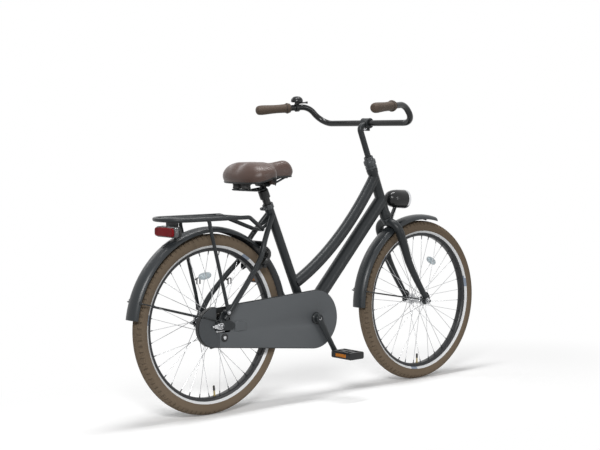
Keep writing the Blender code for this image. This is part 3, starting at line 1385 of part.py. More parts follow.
def make_rear_lamp(frame):
    high = CARRIER_HEIGHT
    back = LAMP_PLATE_X - GAP
    half = REAR_LAMP_WIDTH / 2
    low = high - 0.058
    top = low + REAR_LAMP_HEIGHT
    deep = 0.026
    outline = [(half, low + 0.004), (half, top - 0.004), (half - 0.006, top), (-half + 0.006, top),
               (-half, top - 0.004), (-half, low + 0.004), (-half + 0.006, low), (half - 0.006, low)]
    turn = Matrix(((0, 1, 0, 0), (1, 0, 0, 0), (0, 0, 1, 0), (0, 0, 0, 1)))
    housing = moved(plate(outline, back - deep, back), turn)
    recess = 0.003
    pocket = [(y * 0.93, low + 0.002 + (z - low) * 0.88) for y, z in outline]
    hole = moved(plate(pocket, back - deep - 0.01, back - deep + recess), turn)
    housing = cut(housing, hole)
    settle("rear_lamp_housing", housing, "clear_lens", frame)
    grow = 1 - 2 * GAP / REAR_LAMP_HEIGHT
    middle = (low + top) / 2
    lens = [(y * (1 - GAP / half), middle + (z - middle) * grow) for y, z in pocket]
    body = moved(plate(lens, back - deep - 0.009, back - deep + recess - GAP), turn)
    settle("rear_lamp_lens", body, "red_lens", frame)


def lock_frame():
    outward = polar(Vector(), 1.0, LOCK_ANGLE)
    around = polar(Vector(), 1.0, LOCK_ANGLE + 90)
    centre = polar(REAR_AXLE, LOCK_CENTRE_RADIUS, LOCK_ANGLE)
    return Matrix.Translation(centre) @ Matrix((LEFT, outward, around)).transposed().to_4x4()


def arc_points(radius, start, end, count):
    points = []
    for i in range(count + 1):
        angle = math.radians(start + (end - start) * i / count)
        points.append(Vector((radius * math.cos(angle), radius * math.sin(angle), 0)))
    return points


def make_ring_lock(frame):
    place = lock_frame()
    opening = LOCK_OPENING / 2
    profile = [(LOCK_RING_RADIUS - 0.0085, -LOCK_HALF_DEPTH), (LOCK_RING_RADIUS + 0.0085, -LOCK_HALF_DEPTH),
               (LOCK_RING_RADIUS + 0.010, 0), (LOCK_RING_RADIUS + 0.0085, LOCK_HALF_DEPTH),
               (LOCK_RING_RADIUS - 0.0085, LOCK_HALF_DEPTH)]
    housing = spun(profile, -90 + opening, 270 - opening, 14, Matrix())
    stay = stay_side(LOCK_SPACER_OUT - LOCK_SPACER_RADIUS)
    for side in (-1, 1):
        spot = Vector((side * LOCK_RING_RADIUS, LOCK_SPACER_OUT, 0))
        spacer = rod(spot, spot + UP * stay, LOCK_SPACER_RADIUS, 8)
        housing = union(housing, spacer)
    # The key goes in at the right end, clear of the knob's way.
    cylinder = rod(Vector((-LOCK_RING_RADIUS, -0.018, 0)), Vector((-LOCK_RING_RADIUS - 0.020, -0.024, 0)),
                   0.0062, 10)
    housing = union(housing, cylinder)
    tunnel_radius = bore_for(LOCK_BOLT_RADIUS + LOCK_BOLT_PLAY, 6)
    tunnel = sweep(arc_points(LOCK_RING_RADIUS, -100 + opening, 80, 12), tunnel_radius, 6, side=UP)
    tip = sweep(arc_points(LOCK_RING_RADIUS, 212, 280 - opening, 3), tunnel_radius, 6, side=UP)
    slot = spun([(LOCK_RING_RADIUS, -0.0024), (LOCK_RING_RADIUS + 0.02, -0.0024),
                 (LOCK_RING_RADIUS + 0.02, 0.0024), (LOCK_RING_RADIUS, 0.0024)],
                LOCK_KNOB_ANGLE - LOCK_TRAVEL - 5, LOCK_KNOB_ANGLE + 4, 8, Matrix())
    housing = cut(housing, tunnel, tip, slot)
    settle("ring_lock_housing", moved(housing, place), "black_plastic", frame)
    axis = make_empty("ring_lock_axis", place.translation, parent=frame)
    start = -90 + opening + 4
    bolt = sweep(arc_points(LOCK_RING_RADIUS, start, start + LOCK_BOLT_ARC, 9), LOCK_BOLT_RADIUS, 6,
                 side=UP)
    knob_angle = math.radians(LOCK_KNOB_ANGLE)
    out = Vector((math.cos(knob_angle), math.sin(knob_angle), 0))
    knob = rod(out * LOCK_RING_RADIUS, out * (LOCK_RING_RADIUS + 0.014), 0.0020, 6)
    head = rod(out * (LOCK_RING_RADIUS + 0.0125), out * (LOCK_RING_RADIUS + 0.0195), 0.0055, 8)
    bolt = union(bolt, knob, head)
    settle("ring_lock_bolt", moved(bolt, place), "steel", axis)


def stay_side(level):
    # How far the near side of the seat stay is from the middle of the lock's ring.
    inverse = lock_frame().inverted()
    points = [inverse @ point for point in stay_path(1)]
    for near, far in zip(points, points[1:]):
        if near.y <= level < far.y:
            slant = (far - near).normalized()
            middle = near.lerp(far, (level - near.y) / (far.y - near.y))
            return middle.z - SEAT_STAY_RADIUS / math.hypot(slant.x, slant.y) - GAP
    return LOCK_HALF_DEPTH


def kickstand_pivot():
    return BOTTOM_BRACKET + Vector((-0.090, 0.020, -0.034))


def kickstand_axis():
    return -Vector((0.114, 0.934, 0.307)).normalized()


def make_kickstand(frame):
    pivot = kickstand_pivot()
    axis = kickstand_axis()
    holder = make_empty("kickstand_axis", pivot, parent=frame)
    hub_near = pivot - axis * (0.012 + GAP)
    hub_far = pivot - axis * 0.026
    hub = rod(hub_near, hub_far, KICKSTAND_BOSS_RADIUS, 10)
    start = pivot - axis * 0.019
    foot = KICKSTAND_FOOT
    leg = sweep([start, start.lerp(foot, 0.90), start.lerp(foot, 0.91), foot],
                [0.0062, 0.0058, 0.0085, 0.0085], 8)
    return settle("kickstand", union(leg, hub), "black_paint", holder)


# Saddle, on a post that slides in the seat tube
def make_seatpost(post):
    low = seat_point(SEAT_BORE_START + SEATPOST_FREE_LENGTH)
    high = seat_point(SEATPOST_TOP)
    return settle("seatpost", rod(low, high, SEATPOST_RADIUS, TUBE_FACETS), "black_paint", post)


def saddle_base_point():
    return seat_point(SEATPOST_TOP)


def make_saddle(post):
    top = saddle_base_point()
    rail_z = SADDLE_UNDERSIDE - RAIL_DROP
    clamp = rod(seat_point(SEATPOST_TOP - 0.030), seat_point(SEATPOST_TOP - 0.002), 0.0185, TUBE_FACETS)
    yoke_x = top.x
    yoke = rod((yoke_x, -0.031, rail_z), (yoke_x, 0.031, rail_z), 0.0115, 10)
    neck = rod(seat_point(SEATPOST_TOP - 0.012), Vector((yoke_x, 0, rail_z)), 0.012, 8)
    nut = rod((yoke_x, -0.040, rail_z), (yoke_x, 0.040, rail_z), 0.0062, 6)
    clamp = union(clamp, yoke, neck, nut)
    hole = rod(seat_point(0.2), seat_point(SEATPOST_TOP), SEATPOST_RADIUS + GAP, TUBE_FACETS)
    rails_path = rail_path()
    rail_hole = sweep(rails_path, RAIL_RADIUS + GAP, 6)
    clamp = cut(clamp, hole, rail_hole)
    settle("saddle_clamp", clamp, "steel", post)
    rails = sweep(rails_path, RAIL_RADIUS, 6)
    settle("saddle_rails", rails, "steel", post)
    base = cushion_shape(-0.004, SADDLE_BASE_HEIGHT, True)
    settle("saddle_base", base, "black_plastic", post, crease=40)
    cushion = cushion_shape(0.0, 0.0, False)
    settle("saddle_cover", cushion, "brown_leather", post, crease=60)


def rail_path():
    # One bent wire: both ends seat under the base at the back, and it turns under the nose.
    rear = SADDLE_NOSE_AHEAD - SADDLE_LENGTH + 0.045
    nose = SADDLE_NOSE_AHEAD - 0.030
    high = SADDLE_UNDERSIDE - RAIL_RADIUS - GAP
    low = SADDLE_UNDERSIDE - RAIL_DROP
    half = RAIL_HALF_SPACING
    right = [Vector((rear, -half - 0.012, high)), Vector((rear + 0.030, -half, low)),
             Vector((nose - 0.070, -half, low)), Vector((nose - 0.015, -0.012, high)),
             Vector((nose, -0.008, high))]
    left = [Vector((point.x, -point.y, point.z)) for point in reversed(right)]
    return rounded_path(right + left, [0.02, 0.03, 0.008, 0.006, 0.006, 0.008, 0.03, 0.02], 2)


def saddle_half_width(share):
    # Share runs from the back of the saddle, 0, to the tip of the nose, 1.
    wings = math.exp(-(max(share - 0.16, 0) / 0.27) ** 2)
    nose = 0.27
    width = nose + (1 - nose) * wings
    if share < 0.16:
        width *= math.sqrt(max(0.0, 1 - ((0.16 - share) / 0.175) ** 2))
    if share > 0.86:
        width *= math.sqrt(max(0.0, 1 - ((share - 0.86) / 0.147) ** 2))
    return SADDLE_WIDTH / 2 * width


def saddle_top(share):
    # The back is raised, the middle dips a little and the nose turns down.
    rise = SADDLE_HEIGHT * (0.98 - 0.16 * math.sin(math.pi * min(share / 0.8, 1)))
    if share > 0.80:
        rise -= SADDLE_HEIGHT * 0.42 * ((share - 0.80) / 0.20) ** 2
    return SADDLE_UNDERSIDE + SADDLE_BASE_HEIGHT + rise * 0.86


def cushion_shape(grow, height, is_base):
    bm = bmesh.new()
    rear = SADDLE_NOSE_AHEAD - SADDLE_LENGTH
    stations = SADDLE_STATIONS if not is_base else 10
    across = 12
    rings = []
    for i in range(stations):
        share = 0.004 + 0.992 * (0.5 - 0.5 * math.cos(math.pi * i / (stations - 1)))
        half = saddle_half_width(share) + grow
        half = max(half, 0.004)
        x = rear + SADDLE_LENGTH * share
        low = SADDLE_UNDERSIDE
        top = SADDLE_UNDERSIDE + SADDLE_BASE_HEIGHT
        if not is_base:
            low = top + GAP
            top = max(saddle_top(share), low + 0.012)
            edge = min(1.0, math.sin(math.pi * (0.5 - 0.5 * math.cos(math.pi * share))) * 2.2)
            top = low + (top - low) * (0.45 + 0.55 * edge)
        made = []
        for k in range(across):
            angle = 2 * math.pi * k / across
            y = math.cos(angle)
            z = math.sin(angle)
            power = 0.62 if z > 0 else 0.30
            y = math.copysign(abs(y) ** 0.80, y)
            z = math.copysign(abs(z) ** power, z)
            middle = low + (top - low) * (0.42 if not is_base else 0.5)
            size = top - middle if z > 0 else middle - low
            made.append(bm.verts.new((x, half * y, middle + size * z)))
        rings.append(made)
    for near, far in zip(rings, rings[1:]):
        for k in range(across):
            n = (k + 1) % across
            bm.faces.new((near[k], near[n], far[n], far[k]))
    bm.faces.new(rings[0])
    bm.faces.new(rings[-1])
    return shape(bm)


def joint_frames(root):
    frames = {"root": root}
    frames["steering"] = make_empty("steering_axis", STEER_ORIGIN, steering_turn(), root)
    frames["stem"] = make_empty("stem_slide", steering_point(0, 0, HEAD_TUBE_END), steering_turn(),
                                frames["steering"])
    frames["front_wheel"] = make_empty("front_wheel_axis", FRONT_AXLE, None, frames["steering"])
    frames["rear_wheel"] = make_empty("rear_wheel_axis", REAR_AXLE, None, root)
    frames["sprocket"] = make_empty("sprocket_axis", REAR_AXLE, None, root)
    frames["crank"] = make_empty("crank_axis", BOTTOM_BRACKET, None, root)
    frames["post"] = make_empty("seatpost_slide", SEAT_TOP, None, root)
    return frames


def centre_on_origin(root):
    bpy.context.view_layer.update()
    corners = []
    for thing in bpy.data.objects:
        if thing.type == "MESH":
            corners.extend(thing.matrix_world @ vert.co for vert in thing.data.vertices)
    middle = [(min(point[i] for point in corners) + max(point[i] for point in corners)) / 2
              for i in (0, 1)]
    root.location = (-middle[0], -middle[1], 0)
    bpy.context.view_layer.update()


def main():
    clear_scene()
    root = make_empty("bicycle", Vector())
    frames = joint_frames(root)
    for end in ("rear", "front"):
        make_tyre(end + "_tyre", frames[end + "_wheel"])
        valve_angle = REAR_VALVE_ANGLE if end == "rear" else FRONT_VALVE_ANGLE
        make_rim(end + "_rim", frames[end + "_wheel"], valve_angle)
    make_rear_hub(frames["rear_wheel"])
    make_front_hub(frames["front_wheel"])
    make_spoke_reflector("rear_spoke_reflector", frames["rear_wheel"], REAR_FLANGE_RADIUS,
                         REAR_FLANGE_OFFSET, REAR_REFLECTOR_ANGLE)
    make_spoke_reflector("front_spoke_reflector", frames["front_wheel"], FRONT_FLANGE_RADIUS,
                         FRONT_FLANGE_OFFSET, FRONT_REFLECTOR_ANGLE)
    make_frame(root)
    make_seat_collar(root)
    make_headset(root, frames["steering"])
    make_bottom_bracket(root)
    make_chaincase(root)
    make_rear_guard_and_stay(root)
    make_carrier(root)
    make_rear_lamp(root)
    make_ring_lock(root)
    make_rear_axle(root)
    make_tensioner("chain_tensioner_right", -1, root)
    make_tensioner("chain_tensioner_left", 1, root)
    make_brake_arm(root)
    make_kickstand(root)
    make_chain(root)
    make_sprocket(frames["sprocket"])
    make_chainring(frames["crank"])
    make_crank_axle(frames["crank"])
    make_crank_arm("crank_arm_right", frames["crank"], -1)
    make_crank_arm("crank_arm_left", frames["crank"], 1)
    make_pedal("right", -1, frames["crank"])
    make_pedal("left", 1, frames["crank"])
    make_seatpost(frames["post"])
    make_saddle(frames["post"])
    make_fork(frames["steering"])
    make_front_axle(frames["steering"])
    make_front_guard_and_stay(frames["steering"])
    make_headlamp(frames["steering"])
    make_stem(frames["stem"])
    make_handlebar(frames["stem"])
    make_bell(frames["stem"])
    centre_on_origin(root)


main()
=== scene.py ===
# Looks of the step-through town bicycle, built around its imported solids.
# Lengths are in metres, and in millimetres inside mm(). Everything is laid out from the
# rear axle's place on the ground, and moved to the frame's own place when a piece is finished.

import json
from math import asin, atan2, copysign, cos, degrees, exp, pi, radians, sin, sqrt, tan

import bmesh
import bpy
from mathutils import Matrix, Vector

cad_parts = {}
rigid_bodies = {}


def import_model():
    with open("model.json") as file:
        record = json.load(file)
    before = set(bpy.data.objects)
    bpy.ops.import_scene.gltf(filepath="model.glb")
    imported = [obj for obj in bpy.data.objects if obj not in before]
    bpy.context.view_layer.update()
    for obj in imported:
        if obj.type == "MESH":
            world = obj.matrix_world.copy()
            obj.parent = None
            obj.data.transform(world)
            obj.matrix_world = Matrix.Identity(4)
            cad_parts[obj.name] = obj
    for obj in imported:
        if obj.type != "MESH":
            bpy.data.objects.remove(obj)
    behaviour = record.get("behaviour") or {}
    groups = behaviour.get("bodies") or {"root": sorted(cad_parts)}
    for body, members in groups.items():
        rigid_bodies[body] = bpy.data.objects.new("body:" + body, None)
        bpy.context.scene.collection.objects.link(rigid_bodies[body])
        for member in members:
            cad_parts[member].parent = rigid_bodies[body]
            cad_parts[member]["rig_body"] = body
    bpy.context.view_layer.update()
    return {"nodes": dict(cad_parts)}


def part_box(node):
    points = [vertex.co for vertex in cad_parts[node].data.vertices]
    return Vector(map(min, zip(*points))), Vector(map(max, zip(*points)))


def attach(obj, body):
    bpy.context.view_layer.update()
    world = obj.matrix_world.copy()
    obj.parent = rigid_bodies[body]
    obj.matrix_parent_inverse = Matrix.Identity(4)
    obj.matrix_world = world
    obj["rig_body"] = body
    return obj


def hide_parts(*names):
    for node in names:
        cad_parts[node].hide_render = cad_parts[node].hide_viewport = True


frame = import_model()
left = Vector((0, 1, 0))
up = Vector((0, 0, 1))
ahead = Vector((1, 0, 0))
tyreLow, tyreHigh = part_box("rear_tyre")
shift = Vector(((tyreLow.x + tyreHigh.x) / 2, 0, 0))
print("frame loaded:", len(frame["nodes"]), "solids")


def addToScene(name, data):
    thing = bpy.data.objects.new(name, data)
    bpy.context.scene.collection.objects.link(thing)
    return thing


def aimFrom(thing, place, direction):
    thing.location = place
    thing.rotation_mode = "QUATERNION"
    thing.rotation_quaternion = direction.to_track_quat("-Z", "Y")


# Camera where the photograph was taken from
shot = dict(place=(-3.2223, -3.504, 0.9377), heading=48.2, dip=3.858, focalPixels=1329.03, sensor=36,
            imageWidth=600)
cameraData = bpy.data.cameras.new("camera")
cameraData.sensor_width = shot["sensor"]
cameraData.lens = shot["focalPixels"] * shot["sensor"] / shot["imageWidth"]
camera = addToScene("camera", cameraData)
heading, dip = radians(shot["heading"]), radians(shot["dip"])
aimFrom(camera, shot["place"], Vector((cos(dip) * cos(heading), cos(dip) * sin(heading), -sin(dip))))
bpy.context.scene.camera = camera
bpy.context.scene.view_settings.view_transform = "Standard"


# Small tools for points and paths
def mm(*points):
    return [tuple(value / 1000 for value in point) for point in points]


def polar(centre, radius, angle, out=0.0):
    angle = radians(angle)
    return centre + Vector((radius * cos(angle), out, radius * sin(angle)))


def roundedPath(corners, radii, steps=8):
    corners = [Vector(corner) for corner in corners]
    path = [corners[0]]
    for i, radius in enumerate(radii, 1):
        corner = corners[i]
        back = (corners[i - 1] - corner).normalized()
        onward = (corners[i + 1] - corner).normalized()
        half = back.angle(onward) / 2
        middle = corner + (back + onward).normalized() * (radius / sin(half))
        spoke = corner + back * (radius / tan(half)) - middle
        axis = spoke.cross(corner + onward * (radius / tan(half)) - middle).normalized()
        for k in range(steps + 1):
            path.append(middle + Matrix.Rotation((pi - 2 * half) * k / steps, 3, axis) @ spoke)
    return path + [corners[-1]]


def flowingPath(points, steps=6):
    points = [Vector(point) for point in points]
    ends = [points[0] * 2 - points[1]] + points + [points[-1] * 2 - points[-2]]
    path = []
    for a, b, c, d in zip(ends, ends[1:], ends[2:], ends[3:]):
        for k in range(steps):
            t = k / steps
            path.append((b * 2 + (c - a) * t + (a * 2 - b * 5 + c * 4 - d) * t ** 2
                         + (b * 3 - a - c * 3 + d) * t ** 3) / 2)
    return path + [points[-1]]


def bezierPath(first, handleA, handleB, last, count):
    path = []
    for i in range(count):
        t = i / (count - 1)
        u = 1 - t
        path.append(first * u ** 3 + handleA * (3 * u * u * t) + handleB * (3 * u * t * t) + last * t ** 3)
    return path


def mirrored(half):
    return [(radius, -height) for radius, height in reversed(half)]


def bothSides(half):
    # A point that lies on the middle itself isn't doubled
    return half + [point for point in mirrored(half) if point[1]]


def scaled(points, first, second):
    return [(a * first, b * second) for a, b in points]


# Places and turns for the mesh tools below
def axesAt(place, first, second, third):
    return Matrix.Translation(place) @ Matrix((first, second, third)).transposed().to_4x4()


def uprightAt(place, axis):
    return Matrix.Translation(place) @ axis.to_track_quat("Z", "Y").to_matrix().to_4x4()


def acrossAt(place, side=1):
    # Turns the upright axis of a profile to one side, as a wheel's axle lies
    turn = Matrix.Translation(place) @ Matrix.Rotation(-pi / 2, 4, "X")
    return turn if side > 0 else turn @ Matrix.Rotation(pi, 4, "X")


def joinRings(bm, rings, capped=True):
    for near, far in zip(rings, rings[1:]):
        bmesh.ops.bridge_loops(bm, edges=near + far)
    if capped:
        bmesh.ops.edgeloop_fill(bm, edges=rings[0])
        bmesh.ops.edgeloop_fill(bm, edges=rings[-1])


# Small tools for meshes: each adds a form to a bmesh
def addSweep(bm, points, radii, sides=20, side=left, capped=True):
    points = [Vector(point) for point in points]
    radii = radii if isinstance(radii, list) else [radii] * len(points)
    rings = []
    for before, point, after, size in zip(points[:1] + points, points, points[1:] + points[-1:], radii):
        along = ((point - before).normalized() + (after - point).normalized()).normalized()
        if abs(side.normalized().dot(along)) > 0.999:
            side = up
        side = (side - along * side.dot(along)).normalized()
        wide, high = size if isinstance(size, tuple) else (size, size)
        made = bmesh.ops.create_circle(
            bm, segments=sides, radius=1.0,
            matrix=axesAt(point, side, along.cross(side), along) @ Matrix.Diagonal((wide, high, 1, 1)))
        rings.append(list({edge for vert in made["verts"] for edge in vert.link_edges}))
    joinRings(bm, rings, capped)


def addTapered(bm, start, direction, rings, sides=20, side=left):
    # Each ring is given by its distance along a straight line, and its radius.
    addSweep(bm, [start + direction * level for level, _ in rings], [size for _, size in rings], sides, side)


def addTurned(bm, profile, matrix, steps=44, turn=360.0):
    # The profile is given as radius and height along the matrix's own upright axis,
    # and is a closed ring unless it starts on that axis.
    ring = profile[0][0] > 0
    verts = [bm.verts.new(matrix @ Vector((radius, 0, height))) for radius, height in profile]
    edges = [bm.edges.new(pair) for pair in zip(verts, verts[1:])]
    if ring:
        edges.append(bm.edges.new((verts[-1], verts[0])))
    bmesh.ops.spin(bm, geom=verts + edges, cent=matrix.translation, axis=matrix.to_3x3().col[2],
                   angle=radians(turn), steps=steps, use_merge=turn == 360.0)
    if turn != 360.0:
        bmesh.ops.holes_fill(bm, edges=[edge for edge in bm.edges if edge.is_boundary])


def addPrism(bm, corners, depth):
    face = bm.faces.new([bm.verts.new(corner) for corner in corners])
    made = bmesh.ops.extrude_face_region(bm, geom=[face])
    verts = [item for item in made["geom"] if isinstance(item, bmesh.types.BMVert)]
    bmesh.ops.translate(bm, verts=verts, vec=depth)


def addPlate(bm, outline, near, far, place=Vector()):
    addPrism(bm, [(place.x + x, near, place.z + z) for x, z in outline], (0, far - near, 0))


def addBlock(bm, low, high, matrix=Matrix()):
    low, high = Vector(low), Vector(high)
    middle = Matrix.Translation((low + high) / 2)
    bmesh.ops.create_cube(bm, size=1.0, matrix=matrix @ middle @ Matrix.Diagonal((*(high - low), 1)))


def addRoundedBlock(bm, low, high, corner, axis=0, count=7):
    # A block whose four edges along one axis are rounded
    low, high = Vector(low), Vector(high)
    first, second = (index for index in range(3) if index != axis)
    corners = []
    for a, b, start in ((high, high, 0), (low, high, 90), (low, low, 180), (high, low, 270)):
        for i in range(count):
            angle = radians(start + 90 * i / (count - 1))
            point = low.copy()
            point[first] = a[first] + (-corner if a is high else corner) + corner * cos(angle)
            point[second] = b[second] + (-corner if b is high else corner) + corner * sin(angle)
            corners.append(point)
    depth = Vector()
    depth[axis] = high[axis] - low[axis]
    addPrism(bm, corners, depth)


def addHexHead(bm, place, axis, radius, height, domed=True):
    # A bolt's or nut's head, standing on a washer
    turn = uprightAt(place, axis)
    washer = [(0, -0.0002), (radius * 1.28, -0.0002), (radius * 1.28, height * 0.14), (0, height * 0.14)]
    addTurned(bm, washer, turn, 24)
    levels = [turn @ Vector((0, 0, height * share)) for share in (0.14, 0.86, 1)]
    addSweep(bm, levels, [radius, radius, radius * 0.93], 6, turn.col[0].xyz)
    if domed:
        dome = [(0, 0.9), (0.8, 0.9), (0.72, 1.3), (0.45, 1.52), (0, 1.6)]
        addTurned(bm, scaled(dome, radius, height), turn, 18)


def addScrewHead(bm, place, axis, radius, height):
    # A round head with a cross-like socket
    profile = [(1, 0.45), (0.82, 0.85), (0.52, 1), (0.46, 0.55), (0, 0.5)]
    addTurned(bm, [(0, -0.0002), (radius, -0.0002)] + scaled(profile, radius, height),
              uprightAt(place, axis), 20)


def shapeOf(forms):
    # Each form is a tool with what it needs, such as (addSweep, points, radius).
    bm = bmesh.new()
    for tool, *needs in forms:
        tool(bm, *needs)
    return bm


def takeOut(name, bm, move=shift):
    mesh = bpy.data.meshes.new(name)
    bm.to_mesh(mesh)
    bm.free()
    mesh.transform(Matrix.Translation(move))
    return addToScene(name, mesh)


def makePiece(name, finish, forms, stands="", body="frame_and_fittings", crease=34, bevel=0):
    # A piece rides on the body of the solids that it stands for, or else on the body given.
    bm = shapeOf(forms) if isinstance(forms, list) else forms
    bmesh.ops.remove_doubles(bm, verts=bm.verts[:], dist=0.000004)
    bmesh.ops.recalc_face_normals(bm, faces=bm.faces[:])
    piece = takeOut(name, bm)
    for key in finish.split():
        piece.data.materials.append(materials[key])
    piece.data.shade_smooth()
    piece.data.set_sharp_from_angle(angle=radians(crease))
    if bevel:
        rounding = piece.modifiers.new("rounded edges", "BEVEL")
        rounding.width = bevel
        rounding.segments = 2
        rounding.limit_method = "ANGLE"
        rounding.angle_limit = radians(crease)
        rounding.use_clamp_overlap = True
    stands = stands.split()
    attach(piece, frame["nodes"][stands[0]]["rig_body"] if stands else body)
    if stands:
        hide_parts(*stands)
    return piece


def cutAway(piece, cutters):
    # Takes each cutter's shape out of the piece, and throws the cutter away
    for form in cutters:
        bm = shapeOf([form])
        bmesh.ops.recalc_face_normals(bm, faces=bm.faces[:])
        tool = takeOut("cutter", bm)
        carve = piece.modifiers.new("carve", "BOOLEAN")
        carve.operation = "DIFFERENCE"
        carve.solver = "EXACT"
        carve.object = tool
        piece.modifiers.move(piece.modifiers.find("carve"), 0)
        with bpy.context.temp_override(object=piece, active_object=piece, selected_objects=[piece]):
            bpy.ops.object.modifier_apply(modifier="carve")
        bpy.data.objects.remove(tool, do_unlink=True)


# Shader groups that several finishes share
def connect(socket, value):
    # A socket takes a fixed value, or what another node puts out.
    if isinstance(value, bpy.types.NodeSocket):
        socket.id_data.links.new(value, socket)
    else:
        socket.default_value = value


def addNode(tree, kind, **settings):
    node = tree.nodes.new("ShaderNode" + kind)
    for key, value in settings.items():
        label = key.replace("_", " ")
        if label in node.inputs:
            connect(node.inputs[label], value)
        else:
            setattr(node, key, value)
    return node


def feed(node, *values):
    for socket, value in zip(node.inputs, values):
        connect(socket, value)
    return node.outputs[0]


def calculate(operation, *values, clamp=False, kind="Math"):
    tree = next(value.id_data for value in values if isinstance(value, bpy.types.NodeSocket))
    node = addNode(tree, kind, operation=operation)
    if clamp:
        node.use_clamp = True
    return feed(node, *values)


def blendColours(share, first, second):
    node = addNode(share.id_data, "Mix", data_type="RGBA")
    for index, value in ((0, share), (6, first), (7, second)):
        connect(node.inputs[index], value)
    return node.outputs[2]


def objectPlace(tree):
    return addNode(tree, "TexCoord").outputs["Object"]


def noise(place, scale, detail, roughness=0.5):
    node = addNode(place.id_data, "TexNoise", Vector=place, Scale=scale, Detail=detail, Roughness=roughness)
    return node.outputs[0]


def newGroup(name, results, **inputs):
    group = bpy.data.node_groups.new(name, "ShaderNodeTree")
    for key, value in inputs.items():
        kind = "Float" if isinstance(value, float) else "Vector" if len(value) == 3 else "Color"
        socket = group.interface.new_socket(
            key.replace("_", " "), in_out="INPUT", socket_type="NodeSocket" + kind)
        socket.default_value = value
    for label in results:
        kind = "Color" if label == "Colour" else "Float"
        group.interface.new_socket(label, in_out="OUTPUT", socket_type="NodeSocket" + kind)
    return group, group.nodes.new("NodeGroupInput").outputs, group.nodes.new("NodeGroupOutput").inputs


def buildWornGroup():
    # Colour and roughness of a surface that is rubbed in places and has dust in others
    group, source, target = newGroup(
        "worn surface", ("Colour", "Roughness"), Colour=(0.1, 0.1, 0.1, 1), Rubbed=(0.2, 0.2, 0.2, 1),
        Dust=(0.3, 0.28, 0.25, 1), Scale=20.0, Rubbed_Amount=0.3, Dust_Amount=0.1, Roughness=0.4, Spread=0.1)
    place = objectPlace(group)
    fine = noise(place, source["Scale"], 6, 0.62)
    broad = noise(place, calculate("MULTIPLY", source["Scale"], 0.23), 3)
    rubbed = calculate("MULTIPLY_ADD", fine, 4, -2.1, clamp=True)
    rubbed = calculate("MULTIPLY", rubbed, source["Rubbed Amount"])
    dusty = calculate("MULTIPLY_ADD", broad, 2.6, -0.95, clamp=True)
    dusty = calculate("MULTIPLY", dusty, source["Dust Amount"])
    colour = blendColours(rubbed, source["Colour"], source["Rubbed"])
    connect(target["Colour"], blendColours(dusty, colour, source["Dust"]))
    uneven = calculate("SUBTRACT", calculate("ADD", fine, broad), 1)
    rough = calculate("MULTIPLY_ADD", uneven, source["Spread"], source["Roughness"], clamp=True)
    connect(target["Roughness"], rough)
    return group


def buildGrainGroup():
    # Height of a fine grain, such as powder paint or moulded plastic
    group, source, target = newGroup("fine grain", ["Height"], Scale=900.0, Waves=0.3)
    place = objectPlace(group)
    fine = noise(place, source["Scale"], 2)
    wide = noise(place, calculate("MULTIPLY", source["Scale"], 0.12), 2)
    connect(target["Height"], calculate("MULTIPLY_ADD", wide, source["Waves"], fine))
    return group


def buildLeatherGroup():
    # Pebbles of leather with creases between them: height, and a mask of the creases
    group, source, target = newGroup("leather grain", ("Height", "Crease"), Scale=500.0, Crease_Width=0.12)
    place = objectPlace(group)
    bend = addNode(group, "TexNoise", Vector=place, Scale=90, Detail=3)
    moved = calculate("MULTIPLY_ADD", bend.outputs["Color"], (0.004, 0.004, 0.004), place, kind="VectorMath")
    cells = addNode(group, "TexVoronoi", feature="DISTANCE_TO_EDGE", Vector=moved, Scale=source["Scale"])
    height = calculate("DIVIDE", cells.outputs["Distance"], source["Crease Width"], clamp=True)
    connect(target["Height"], height)
    connect(target["Crease"], calculate("SUBTRACT", 1, height, clamp=True))
    return group


def buildTyreGroup():
    # Pattern of a tyre about its own axle: knurl on the flanks, cross cuts on the shoulders
    group, source, target = newGroup(
        "tyre pattern", ("Height", "Grooves"), Vector=(0, 0, 0), Cuts=96.0, Knurl=420.0)
    parts = addNode(group, "SeparateXYZ", Vector=source["Vector"]).outputs
    turn = calculate("ARCTAN2", parts["Z"], parts["X"])
    squares = [calculate("MULTIPLY", parts[axis], parts[axis]) for axis in "XZ"]
    radius = calculate("SQRT", calculate("ADD", *squares))
    wave = calculate("SINE", calculate("MULTIPLY", turn, source["Cuts"]))
    cut = calculate("MULTIPLY_ADD", wave, 3, -1.9, clamp=True)
    high = calculate("MULTIPLY_ADD", radius, 260, -75.2, clamp=True)
    low = calculate("MULTIPLY_ADD", radius, -400, 121, clamp=True)
    cut = calculate("MULTIPLY", cut, calculate("MULTIPLY", high, low))
    around = calculate("SINE", calculate("MULTIPLY", turn, source["Knurl"]))
    across = calculate("SINE", calculate("MULTIPLY", radius, 2400))
    knurl = calculate("MULTIPLY_ADD", calculate("MULTIPLY", around, across), 0.5, 0.5)
    connect(target["Height"], calculate("SUBTRACT", calculate("MULTIPLY", knurl, 0.35), cut))
    connect(target["Grooves"], cut)
    return group


def buildCellGroup():
    # Small domed cells of a reflector, in rows
    group, source, target = newGroup("reflector cells", ["Height"], Pitch=0.0026)
    parts = addNode(group, "SeparateXYZ", Vector=objectPlace(group)).outputs
    rate = calculate("DIVIDE", 2 * pi, source["Pitch"])
    waves = [calculate("SINE", calculate("MULTIPLY", parts[axis], rate)) for axis in "XYZ"]
    total = calculate("ADD", calculate("MULTIPLY", waves[0], waves[2]), waves[1])
    connect(target["Height"], calculate("MULTIPLY_ADD", total, 0.25, 0.5))
    return group


groups = {"worn": buildWornGroup(), "grain": buildGrainGroup(), "leather": buildLeatherGroup(),
          "tyre": buildTyreGroup(), "cells": buildCellGroup()}
print("shader groups ready")

